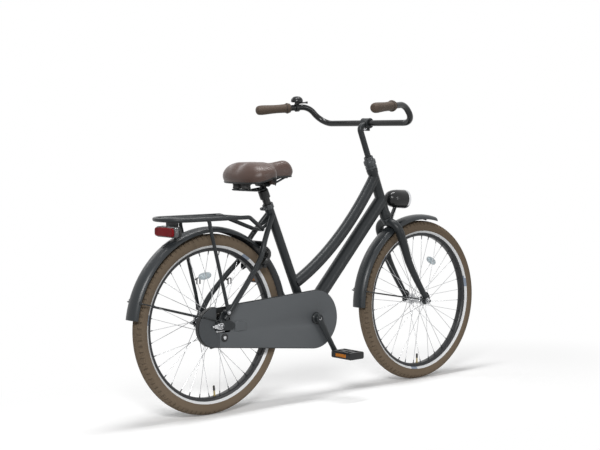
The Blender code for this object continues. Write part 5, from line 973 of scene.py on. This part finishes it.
for part, finish, stands in (("shell", "glossBlack", "headlamp_shell"), ("ring", "chrome", ""),
                             ("lens", "clearShell", "headlamp_lens"), ("mirror", "chrome", "")):
    profile = scaled(lamp[part], lamp["radius"], lamp["length"])
    makePiece("lamp" + part.capitalize(), finish, [(addTurned, profile, lampTurn, 56)], stands, "steering")
makePiece("lampBulb", "clearShell", [
    (addTapered, lampTail, aimLamp, [(0.056, 0.0058), (0.06, 0.0058)], 24),
    (addTapered, lampTail, aimLamp, [(0.058, 0.0054), (0.068, 0.0046)], 24)], "", "steering")
foot = steerPoint(0.0217, 0, 0.35)
under = lampTail + aimLamp * 0.0439 - up * (0.8 * lamp["radius"])
strap = roundedPath([foot, foot + Vector((0.008, 0, 0.02)), under - up * 0.003, under + up * 0.004],
                    [0.012, 0.01], 6)
makePiece("lampBracket", "blackPaint", [
    (addSweep, strap, (0.01, 0.0018), 24),
    (addSweep, [foot - steerAhead * 0.002, foot + steerAhead * 0.004], 0.0075, 28)], "", "steering")
makePiece("lampBolts", "steel", [
    (addHexHead, foot + steerAhead * 0.0038, steerAhead, 0.0052, 0.005),
    (addHexHead, under - up * 0.0045, -up, 0.0046, 0.0044)], "", "steering", bevel=0.0003)
rods = []
for side in (-1, 1):
    start = beside(under, side, 0, 0.003, -0.008)
    route = [start, beside(start, side, -0.004, 0.003, -0.014), beside(foot, side, 0.004, 0.011, 0.006)]
    rods.append((addSweep, route, 0.0009, 10))
makePiece("lampRods", "chrome", rods, "", "steering")
print("headlamp ready")

# Stem: a bent column with the bar's clamp
stem = dict(foot=0.47, along=0.7318, ahead=0.04, bend=0.016, radius=0.0112, bolt=0.0222,
            clamp=mm((11.3, 19), (18, 19), (18.8, 18.4), (19, 17.4), (18.4, 12), (18.4, 0)),
            jaws=((-0.0068, -0.0012), (0.0012, 0.0068)))
barPlace = steerPoint(stem["ahead"], 0, stem["along"])
column = [steerPoint(0, 0, stem["foot"]), steerPoint(0, 0, stem["along"]), barPlace]
makePiece("stemColumn", "blackPaint", [
    (addSweep, roundedPath(column, [stem["bend"]], 10), stem["radius"], 32),
    (addTurned, bothSides(stem["clamp"]), acrossAt(barPlace)),
    *[(addBlock, (near, -0.0105, -0.0285), (far, 0.0105, -0.01), Matrix.Translation(barPlace))
      for near, far in stem["jaws"]]], "stem", bevel=0.0006)
makePiece("stemBolt", "steel", [
    (addHexHead, barPlace + Vector((side * 0.0068, 0, -stem["bolt"])), ahead * side, 0.0048, height, False)
    for side, height in ((-1, 0.0044), (1, 0.004))], "", "handlebars", bevel=0.0003)

# Handlebar: its end, its bend for the hand and its middle, beside the clamp
bar = dict(radius=0.0111, corners=[(-0.2686, 0.3064, 0.0476), (-0.0619, 0.2518, 0.0637), (0, 0.2398, 0)],
           bends=[0.07, 0.06, 0.06, 0.07])
route = [beside(barPlace, -1, *corner) for corner in bar["corners"]]
route += [beside(barPlace, 1, *corner) for corner in reversed(bar["corners"])]
makePiece("barTube", "glossBlack", [(addSweep, roundedPath(route, bar["bends"], 14), bar["radius"], 32, up)],
          "handlebar")

# Grips: soft sleeves with a swell for the hand, an end knob and a flange
grip = dict(
    length=0.14, radius=0.0165, past=0.0045, bands=((0.87, 0.0008), (0.975, 0.001)),
    swell=[(0, 0.4), (0.008, 0.66), (0.025, 0.86), (0.055, 1), (0.1, 1.07), (0.16, 1.09), (0.25, 1.07),
           (0.38, 1.01), (0.52, 0.96), (0.66, 0.95), (0.78, 0.98), (0.86, 1), (0.885, 1.01), (0.892, 1.16),
           (0.905, 1.22), (0.93, 1.2), (0.942, 1.06), (0.955, 1.05), (0.985, 1.04), (1, 0.9)])
for side, name in ((-1, "Right"), (1, "Left")):
    barEnd, barBend = (beside(barPlace, side, *corner) for corner in bar["corners"][:2])
    inward = (barBend - barEnd).normalized()
    first = barEnd - inward * grip["past"]
    sleeve = scaled(grip["swell"], grip["length"], grip["radius"])
    makePiece("grip" + name + "Sleeve", "gripLeather", [(addTapered, first, inward, sleeve, 48, up)],
              "grip_" + name.lower(), crease=50)
    bands = []
    for share, width in grip["bands"]:
        level = grip["length"] * share
        band = [(0.015, level - width), (0.0174, level - width), (0.0177, level), (0.0174, level + width),
                (0.015, level + width)]
        bands.append((addTurned, band, uprightAt(first, inward)))
    makePiece("grip" + name + "Bands", "blackRubber", bands, "", "handlebars")

# Bell: a dome on a post, with its clamp, beside the left grip
bell = dict(
    along=0.165, clamp=mm((11.2, 7), (15, 7), (15.6, 6.2)),
    dome=mm((0, 0.3), (19.8, 0.3), (22.2, 0.1), (22.9, 1), (23, 3.8), (22.6, 7.2), (21.4, 10.8),
            (19, 14.6), (15.2, 17.9), (10.4, 20.2), (5.6, 21.2), (5, 20.5), (4, 20.5), (0, 20.5)),
    screw=mm((0, 19.5), (3.6, 19.5), (3.8, 20.8), (2.6, 21.9), (0, 22)))
bellMiddle = barEnd + inward * bell["along"]
bellTurn = Matrix.Translation(bellMiddle + up * 0.0211)
turn = uprightAt(bellMiddle, inward)
makePiece("bellBase", "blackPlastic", [
    (addTurned, bothSides(bell["clamp"]), turn, 36),
    (addSweep, [bellMiddle + up * 0.013, bellMiddle + up * 0.0212], 0.0085, 28),
    (addSweep, [bellMiddle + up * 0.0195, bellMiddle + up * 0.0212], 0.02, 40),
    (addBlock, (-0.003, -0.006, -0.0205), (0.003, 0.006, -0.0135), turn @ Matrix.Rotation(pi / 2, 4, "X"))],
    "bell", bevel=0.0004)
makePiece("bellDome", "glossBlack", [(addTurned, bell["dome"], bellTurn, 56)], "", "handlebars")
makePiece("bellScrew", "chrome", [(addTurned, bell["screw"], bellTurn, 24)], "", "handlebars")
print("handlebars ready")

# Chaincase: a shallow tray with a rim, split behind the axle, and cut open around it
case = dict(frontRadius=0.102, rearRadius=0.065, face=-0.0575, open=-0.0355, wall=0.002, rim=0.0025,
            crankHole=0.0208, axleHole=0.0215)
face = case["face"]


def caseOutline(inset, count=56):
    front = bracket - up * 0.0045
    rear = rearAxle + Vector((-0.02, 0, -0.004))
    big, small = case["frontRadius"] - inset, case["rearRadius"] - inset
    gap = front - rear
    toward = atan2(gap.z, gap.x)
    reach = pi / 2 + asin((big - small) / gap.length)
    outline = []
    for middle, radius, start, stop in ((front, big, toward - reach, toward + reach),
                                        (rear, small, toward + reach, toward - reach + 2 * pi)):
        for i in range(count + 1):
            angle = start + (stop - start) * i / count
            outline.append((middle.x + radius * cos(angle), middle.z + radius * sin(angle)))
    return outline


def caseCutters(start, stop):
    # Everything outside the span from start to stop, the openings for the axle and the crank
    return [(addBlock, (start - 1, -1, -1), (start, 1, 2)), (addBlock, (stop, -1, -1), (stop + 1, 1, 2)),
            (addBlock, rearAxle + Vector((-0.014, -0.2, -0.024)), rearAxle + Vector((0.044, 0, 0.2))),
            (addSweep, [bracket - left * 0.2, bracket + left * 0.1], case["crankHole"], 48, up)]


for name, node, finish, start, stop, depth in (("caseTray", "chaincase", "casePlastic", 0.0003, 1.2, 0.009),
                                               ("caseTail", "chaincase_tail", "tailPlastic", -1, 0, 0.019)):
    tray = makePiece(name, finish, [(addPlate, caseOutline(0), face, case["open"])], node,
                     crease=38, bevel=0.0009)
    hollow = (addPlate, caseOutline(case["wall"]), face + case["wall"], case["open"] + 0.02)
    cutAway(tray, [hollow] + caseCutters(start, stop))
    band = (addPlate, caseOutline(-case["rim"]), face + 0.003, face + depth)
    rimBand = makePiece(name + "Rim", "blackPlastic", [band], crease=38, bevel=0.0007)
    inner = (addPlate, caseOutline(0.0008), face - 0.02, case["open"] + 0.02)
    cutAway(rimBand, [inner] + caseCutters(start, stop))
# The inner wall, which shows dark behind the axle, and the bulge over the chain stay's end
innerWall = makePiece("caseInnerWall", "blackPlastic", [(addPlate, caseOutline(0.0032), -0.0378, -0.0366)],
                      crease=38, bevel=0.0003)
cutAway(innerWall, [(addSweep, [rearAxle - left * 0.06, rearAxle - left * 0.02], case["axleHole"], 40, up),
                    (addBlock, (0.135, -1, -1), (1.2, 1, 2))])
low = rearAxle + Vector((0.0635, face - 0.0046, -0.0245))
high = rearAxle + Vector((0.1125, face + 0.002, 0.009))
makePiece("caseBulge", "casePlastic", [(addRoundedBlock, low, high, 0.006, 1)], crease=38, bevel=0.0038)
bossPlace = Vector((0.0205, face + 0.0003, 0.264))
boss = mm((0, -2.6), (12.5, -2.6), (14.2, -1.6), (14.5, 0), (0, 0))
makePiece("caseBoss", "blackPlastic", [(addTurned, boss, acrossAt(bossPlace))])
makePiece("caseScrew", "steel", [(addScrewHead, bossPlace - left * 0.0026, -left, 0.0062, 0.0026)])
print("chaincase ready")

# Cranks: forged arms, wide and thin at each share of their length, with bosses and bolts
crank = dict(
    length=0.152, inner=0.067, outer=0.08, forward=31.6, boss=0.0195, bossFrom={-1: 0.0458, 1: 0.04},
    arm=[(-0.085, (0.004, 0.0075)), (-0.07, (0.0066, 0.0115)), (-0.04, (0.0078, 0.0134)),
         (0.1, (0.0064, 0.0126)), (0.45, (0.006, 0.0112)), (0.8, (0.006, 0.0104)), (0.95, (0.0066, 0.0116)),
         (1.03, (0.0064, 0.0112)), (1.055, (0.0052, 0.0092)), (1.07, (0.003, 0.006))])
# Pedals: an open body with ribbed treads, and lenses a little smaller than their pockets
pedal = dict(length=0.068, height=0.025, railDepth=0.011, hub=0.0085, lens=(1, 0.78, 0.8), gap=0.0003,
             openings=((0.11, 0.46), (0.54, 0.89)), tread=(0.0036, 0.0016, 0.0007))


def makeCrank(side, name, angle):
    outer, radius, near = crank["outer"], crank["boss"], crank["bossFrom"][side]
    middle = bracket + left * (side * (crank["inner"] + outer) / 2)
    boss = [(0, near), (radius - 0.0006, near), (radius, near + 0.0006), (radius, 0.061),
            (radius - 0.0012, 0.0625), (0.015, 0.065), (0.0146, outer - 0.0016), (0.0136, outer - 0.0002),
            (0.0094, outer),
            (0.0084, outer - 0.0012), (0.0082, outer - 0.0036), (0, outer - 0.0036)]
    makePiece("crank" + name + "Arm", "blackPaint", [
        (addTapered, middle, polar(Vector(), crank["length"], angle), crank["arm"], 28),
        (addTurned, boss, acrossAt(bracket, side))], "crank_arm_" + name.lower(), crease=30)
    bolt = bracket + left * (side * (outer - 0.004))
    makePiece("crank" + name + "Bolt", "steel", [(addHexHead, bolt, left * side, 0.0062, 0.0046, False)],
              "", "crankset", bevel=0.0003)


def lensBlock(node):
    low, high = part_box(node)
    middle, half = (low + high) / 2 - shift, (high - low) / 2 * Vector(pedal["lens"])
    return middle - half, middle + half


def makePedal(side, name, angle):
    node = "pedal_" + name.lower()
    place = polar(bracket, crank["length"], angle)
    low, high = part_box(node)
    inner, outer = (high.y, low.y) if side < 0 else (low.y, high.y)
    half, tall = pedal["length"] / 2, pedal["height"] / 2
    corner = [(half, tall * 0.5), (half - 0.001, tall * 0.8), (half - 0.004, tall)]
    outline = mirrored(corner) + corner
    outline += [(-x, -z) for x, z in outline]
    cage = makePiece("pedal" + name + "Body", "blackPlastic", [(addPlate, outline, inner, outer, place)],
                     node, crease=38, bevel=0.0008)
    cutters = []
    rail = half - pedal["railDepth"]
    for start, stop in ((-rail, -pedal["hub"]), (pedal["hub"], rail)):
        for shares in pedal["openings"]:
            near, far = sorted(inner + (outer - inner) * share for share in shares)
            cutters.append((addBlock, (place.x + start, near, place.z - 0.1),
                            (place.x + stop, far, place.z + 0.1)))
    lenses = {word: lensBlock("pedal_reflector_" + word + "_" + name.lower()) for word in ("front", "rear")}
    gap = Vector((1, 1, 1)) * pedal["gap"]
    for low, high in lenses.values():
        out = ahead * 0.01
        cutters.append((addBlock, low - gap, high + gap + out) if low.x > place.x
                       else (addBlock, low - gap - out, high + gap))
    cutAway(cage, cutters)
    treads = []
    size = Vector(pedal["tread"])
    for top in (-1, 1):
        for rail in (-1, 1):
            for k in range(9):
                y = inner + (outer - inner) * (0.12 + 0.095 * k)
                spot = Vector((place.x + rail * (half - 0.0078), y, place.z + top * (tall - 0.0009)))
                treads.append((addBlock, spot - size, spot + size))
    makePiece("pedal" + name + "Treads", "blackRubber", treads, "", node, bevel=0.0003)
    for word, lens in lenses.items():
        makePiece("pedal" + name + word.capitalize() + "Lens", "amberLens", [(addBlock, *lens)],
                  "pedal_reflector_" + word + "_" + name.lower(), bevel=0.0005)


for side, name in ((-1, "Right"), (1, "Left")):
    angle = 270 + crank["forward"] + (180 if side > 0 else 0)
    makeCrank(side, name, angle)
    makePedal(side, name, angle)
print("cranks and pedals ready")

# Carrier: a long loop with cross bars, flattened legs and the lamp's plate
carrier = dict(height=0.664, halfWidth=0.079, rear=-0.2, front=0.112, tube=0.007, legOut=0.0834,
               foot=0.0262, bends=[0.03, 0.072, 0.072, 0.03], crossBars=(0.092, -0.14),
               longBars=(-0.03, 0.03), pillar=-0.14)
high, wide, reach = carrier["height"], carrier["halfWidth"], left * carrier["foot"]
route = [carrierMount - reach, (carrier["front"], -wide, high), (carrier["rear"], -wide, high),
         (carrier["rear"], wide, high), (carrier["front"], wide, high), carrierMount + reach]
forms = [(addSweep, roundedPath(route, carrier["bends"], 12), carrier["tube"], 24, up)]
forms += [(addSweep, [(x, -wide, high), (x, wide, high)], 0.00525, 20, up) for x in carrier["crossBars"]]
forms += [(addSweep, [(carrier["rear"], y, high), (carrier["crossBars"][0], y, high)], 0.0049, 18)
          for y in carrier["longBars"]]
makePiece("carrierLoop", "blackPaint", forms, "rear_carrier")
legs, bolts = [(addSweep, [polar(rearAxle, 0.329, 124), polar(rearAxle, 0.331, 124)], 0.009, 24)], []
for side in (-1, 1):
    eye = beside(rearAxle, side, 0.018, carrier["legOut"], 0.046)
    loopPlace = Vector((0, side * wide, high))
    route = [beside(loopPlace, side, -0.062, 0, 0), beside(loopPlace, side, -0.058, 0.0006, -0.012),
             beside(loopPlace, side, -0.056, 0.002, -0.028), beside(eye, side, -0.012, -0.0025, 0.05),
             beside(eye, side, -0.006, -0.0015, 0.024), eye]
    sizes = [0.0066, 0.0066, 0.0062, 0.006, (0.003, 0.0074), (0.0018, 0.009)]
    legs += [(addSweep, route, sizes, 24),
             (addSweep, [eye - left * 0.0017, eye + left * 0.0017], 0.0092, 28, up)]
    bolts += [(addHexHead, eye + left * (side * 0.0017), left * side, 0.005, 0.0042),
              (addHexHead, carrierMount + left * (side * 0.027), left * side, 0.005, 0.0044)]
makePiece("carrierLegs", "blackPaint", legs)
makePiece("carrierBolts", "steel", bolts, bevel=0.0003)
guardTop = sqrt(0.3297 ** 2 - carrier["pillar"] ** 2) + rearAxle.z
makePiece("carrierPillarAndPlate", "blackPaint", [
    (addSweep, [(carrier["pillar"], 0, guardTop), (carrier["pillar"], 0, high)], 0.005, 20),
    (addBlock, (-0.1518, -0.033, 0.612), (-0.149, 0.033, high - 0.002))], bevel=0.0008)

# Rear lamp: a clear housing with a dark back and a red lens behind it
rearLamp = dict(back=-0.1524, depth=0.026, half=0.055, low=0.606, high=0.642)
back, low, high, half = (rearLamp[key] for key in ("back", "low", "high", "half"))
lens = back - rearLamp["depth"]
for part, finish, near, far, side, inset, corner, bevel, stands in (
        ("Back", "blackPlastic", back - 0.0095, back, half, 0, 0.012, 0.0012, "rear_lamp_housing"),
        ("Clear", "smokedShell", lens, back - 0.0096, half - 0.0006, 0.0004, 0.0118, 0.0024, ""),
        ("Red", "redLens", lens - 0.008, lens + 0.0006, half * 0.92, 0.0035, 0.01, 0.003, "rear_lamp_lens")):
    block = (addRoundedBlock, (near, -side, low + inset), (far, side, high - inset), corner)
    makePiece("rearLamp" + part, finish, [block], stands, crease=38, bevel=bevel)
makePiece("rearLampNuts", "steel", [
    (addHexHead, (-0.149, side * 0.025, 0.632), ahead, 0.004, 0.0034, False) for side in (-1, 1)],
    bevel=0.0003)
print("carrier and rear lamp ready")

# Small parts that keep their solid's shape: a merged copy with rounded edges stands for it
solids = dict(
    bellLeverArm=("bell_lever", "blackPlastic", 0.0004, 40),
    lockShell=("ring_lock_housing", "glossBlack", 0.0012, 30),
    lockBolt=("ring_lock_bolt", "chrome", 0.0004, 40), standLeg=("kickstand", "blackPaint", 0.0008, 40),
    brakeStrap=("brake_arm", "blackPaint", 0.0005, 40),
    tensionerLeft=("chain_tensioner_left", "steel", 0.0004, 40),
    tensionerRight=("chain_tensioner_right", "steel", 0.0004, 40),
    saddleClampBody=("saddle_clamp", "blackPlastic", 0.0008, 36))
for name, (node, finish, bevel, crease) in solids.items():
    bm = bmesh.new()
    bm.from_mesh(frame["nodes"][node].data)
    bmesh.ops.remove_doubles(bm, verts=bm.verts[:], dist=0.00001)
    bmesh.ops.dissolve_limit(bm, angle_limit=radians(1.5), verts=bm.verts[:], edges=bm.edges[:])
    bmesh.ops.translate(bm, verts=bm.verts[:], vec=-shift)
    makePiece(name, finish, bm, node, crease=crease, bevel=bevel)
# Solids that show as they are
bareSolids = dict(chain="chainSteel", chainring="steel", sprocket="steel", bottom_bracket="darkSteel",
                  crank_axle="steel", pedal_spindle_left="steel", pedal_spindle_right="steel")
for node, finish in bareSolids.items():
    for slot in frame["nodes"][node].material_slots:
        slot.material = materials[finish]

# Small clips on the far leg and the far stay
clips = dict(feet=mm((6, 79.5, 450), (129, 64, 442)), width=0.013, height=0.017, wire=(0.003, 0.0019))
forms = []
for foot in clips["feet"]:
    first = Vector(foot) + ahead * 0.004
    drop, across = up * clips["height"], ahead * clips["width"]
    hook = [first - drop * 0.2, first + up * 0.004, first + across + up * 0.004, first + across - drop]
    forms += [(addSweep, roundedPath(hook, [0.003, 0.003], 5), clips["wire"], 12),
              (addSweep, [first + up * 0.003, first - drop], clips["wire"], 12),
              (addSweep, [first - ahead * 0.007, first + ahead * 0.0008], 0.0034, 14)]
makePiece("cableClips", "blackPlastic", forms, bevel=0.0003)
print("lock, stand and drive ready")

# Seatpost and the saddle's rails
seatpost = [(0.245, 0.0128), (0.2458, 0.0136), (0.4972, 0.0136), (0.498, 0.0128)]
makePiece("seatpostTube", "glossBlack", [(addTapered, bracket, seatUp, seatpost, 40)], "seatpost")
rail = dict(radius=0.0035, bends=[0.02, 0.03, 0.008, 0.006],
            points=mm((163, 34, 791.2), (193, 22, 773), (273, 22, 773), (328, 12, 791.2), (343, 8, 791.2)))
route = [(x, -y, z) for x, y, z in rail["points"]] + rail["points"][::-1]
wire = roundedPath(route, rail["bends"] + rail["bends"][::-1], 8)
makePiece("saddleRailWire", "blackPaint", [(addSweep, wire, rail["radius"], 18)], "saddle_rails")

# Saddle: a broad padded top with a shoulder before the nose, a skirt, a tray and its bumpers
saddle = dict(rear=0.109, length=0.26, half=0.109, nose=0.27, shoulder=0.5, fade=0.046, brim=0.796,
              top=0.848, trayLow=0.79)


def hump(value, middle, width):
    return exp(-((value - middle) / width) ** 2)


def endRound(value, power):
    return max(1 - value ** power, 0) ** 0.5


def saddleHalfWidth(share):
    wings = 1 / (1 + exp((share - saddle["shoulder"]) / saddle["fade"]))
    width = saddle["nose"] + (1 - saddle["nose"]) * wings
    if share < 0.2:
        width *= endRound((0.2 - share) / 0.2015, 2.2)
    if share > 0.84:
        width *= endRound((share - 0.84) / 0.1605, 2)
    return width * saddle["half"]


def saddleTop(share):
    # The ridge: high over the seat, a slight waist, and high again on the nose
    return saddle["top"] - 0.0055 * hump(share, 0.6, 0.13) + 0.003 * hump(share, 0.88, 0.1)


def saddleBrim(share):
    # The skirt hangs lowest behind and at the shoulder, and rises towards the nose.
    return (saddle["brim"] - 0.018 * hump(share, 0, 0.26) - 0.026 * hump(share, 0.5, 0.045)
            + 0.004 * hump(share, 0.36, 0.08))


def saddlePoint(share, around, out=1):
    # around runs from -1 at the right brim through 0 on the ridge to 1 at the left brim
    low = saddleBrim(share)
    ends = 1
    if share < 0.2:
        ends = endRound((0.2 - share) / 0.2005, 2)
    if share > 0.82:
        ends = endRound((share - 0.82) / 0.1805, 2.2)
    quarter = abs(around) * pi / 2
    y = copysign(saddleHalfWidth(share) * out * sin(quarter) ** 0.9, around)
    level = max(cos(quarter), 0) ** 0.7 * ends
    dip = 0.0075 * hump(y, 0, 0.02) * hump(share, 0.08, 0.24)
    # The skirt tucks in towards the brim
    tuck = 1 - 0.055 * max(1 - level / 0.42, 0) ** 2
    middle = saddle["rear"] + saddle["length"] * 0.45
    x = middle + saddle["length"] * (share - 0.45) * tuck
    return Vector((x, y * tuck, low + (saddleTop(share) - dip - low) * level))


def evenShares(count, start=0.0008, stop=0.9992):
    return [start + (stop - start) * (0.5 - 0.5 * cos(pi * i / count)) for i in range(count + 1)]


def coverGrid(bm, rows):
    grid = [[bm.verts.new(point) for point in row] for row in rows]
    for near, far in zip(grid, grid[1:]):
        for corners in zip(near, far, far[1:], near[1:]):
            bm.faces.new(corners)
    return grid


bm = bmesh.new()
columns = 44
grid = coverGrid(bm, [[saddlePoint(share, 2 * k / columns - 1) for k in range(columns + 1)]
                      for share in evenShares(72)])
for near, far in zip(grid, grid[1:]):
    bm.faces.new((near[-1], far[-1], far[0], near[0]))
bm.faces.new(grid[0])
bm.faces.new(grid[-1])
cover = makePiece("saddleCushion", "saddleLeather", bm, "saddle_cover", crease=66)
# Piping along the brim's line all round, and the tray within it
brim = [saddlePoint(share, -1, 0.992) - up * 0.0012 for share in evenShares(64)]
brim += [Vector((x, -y, z)) for x, y, z in reversed(brim[1:-1])] + brim[:1]
makePiece("saddlePiping", "blackPlastic", [(addSweep, brim, (0.003, 0.0019), 12, up, False)],
          "", "saddle_and_post", 60)
rows = []
for share in evenShares(44, 0.012, 0.99):
    edge = saddlePoint(share, 1, 0.965)
    row = []
    for k in range(-6, 7):
        z = max(edge.z, saddle["trayLow"]) if abs(k) < 5 and share > 0.1 else edge.z
        row.append((edge.x, edge.y * k / 6, z - 0.001))
    rows.append(row)
bm = bmesh.new()
coverGrid(bm, rows)
made = bmesh.ops.extrude_face_region(bm, geom=bm.faces[:])
verts = [item for item in made["geom"] if isinstance(item, bmesh.types.BMVert)]
bmesh.ops.translate(bm, verts=verts, vec=up * 0.004)
makePiece("saddleTray", "blackPlastic", bm, "saddle_base", crease=38)
# Rubber bumpers behind, and the straps that join them to the clamp
bumper = mm((0, 756), (14, 756), (16.5, 758.5), (15, 765), (16.5, 772), (15, 786), (0, 787))
strap = dict(points=mm((129, 23, 753), (150, 23, 751.5), (190, 20, 749), (236, 16, 756)),
             sizes=mm((14, 3.4), (15, 3.8), (11, 3.6), (8, 3)))
makePiece("saddleBumpers", "blackRubber", [
    (addTurned, bumper, Matrix.Translation((0.143, side * 0.023, 0)), 28) for side in (-1, 1)],
    "", "saddle_and_post")
makePiece("saddleStraps", "blackPaint", [
    (addSweep, [beside(Vector(), side, *point) for point in strap["points"]], strap["sizes"], 20)
    for side in (-1, 1)], "", "saddle_and_post")
print("saddle ready")
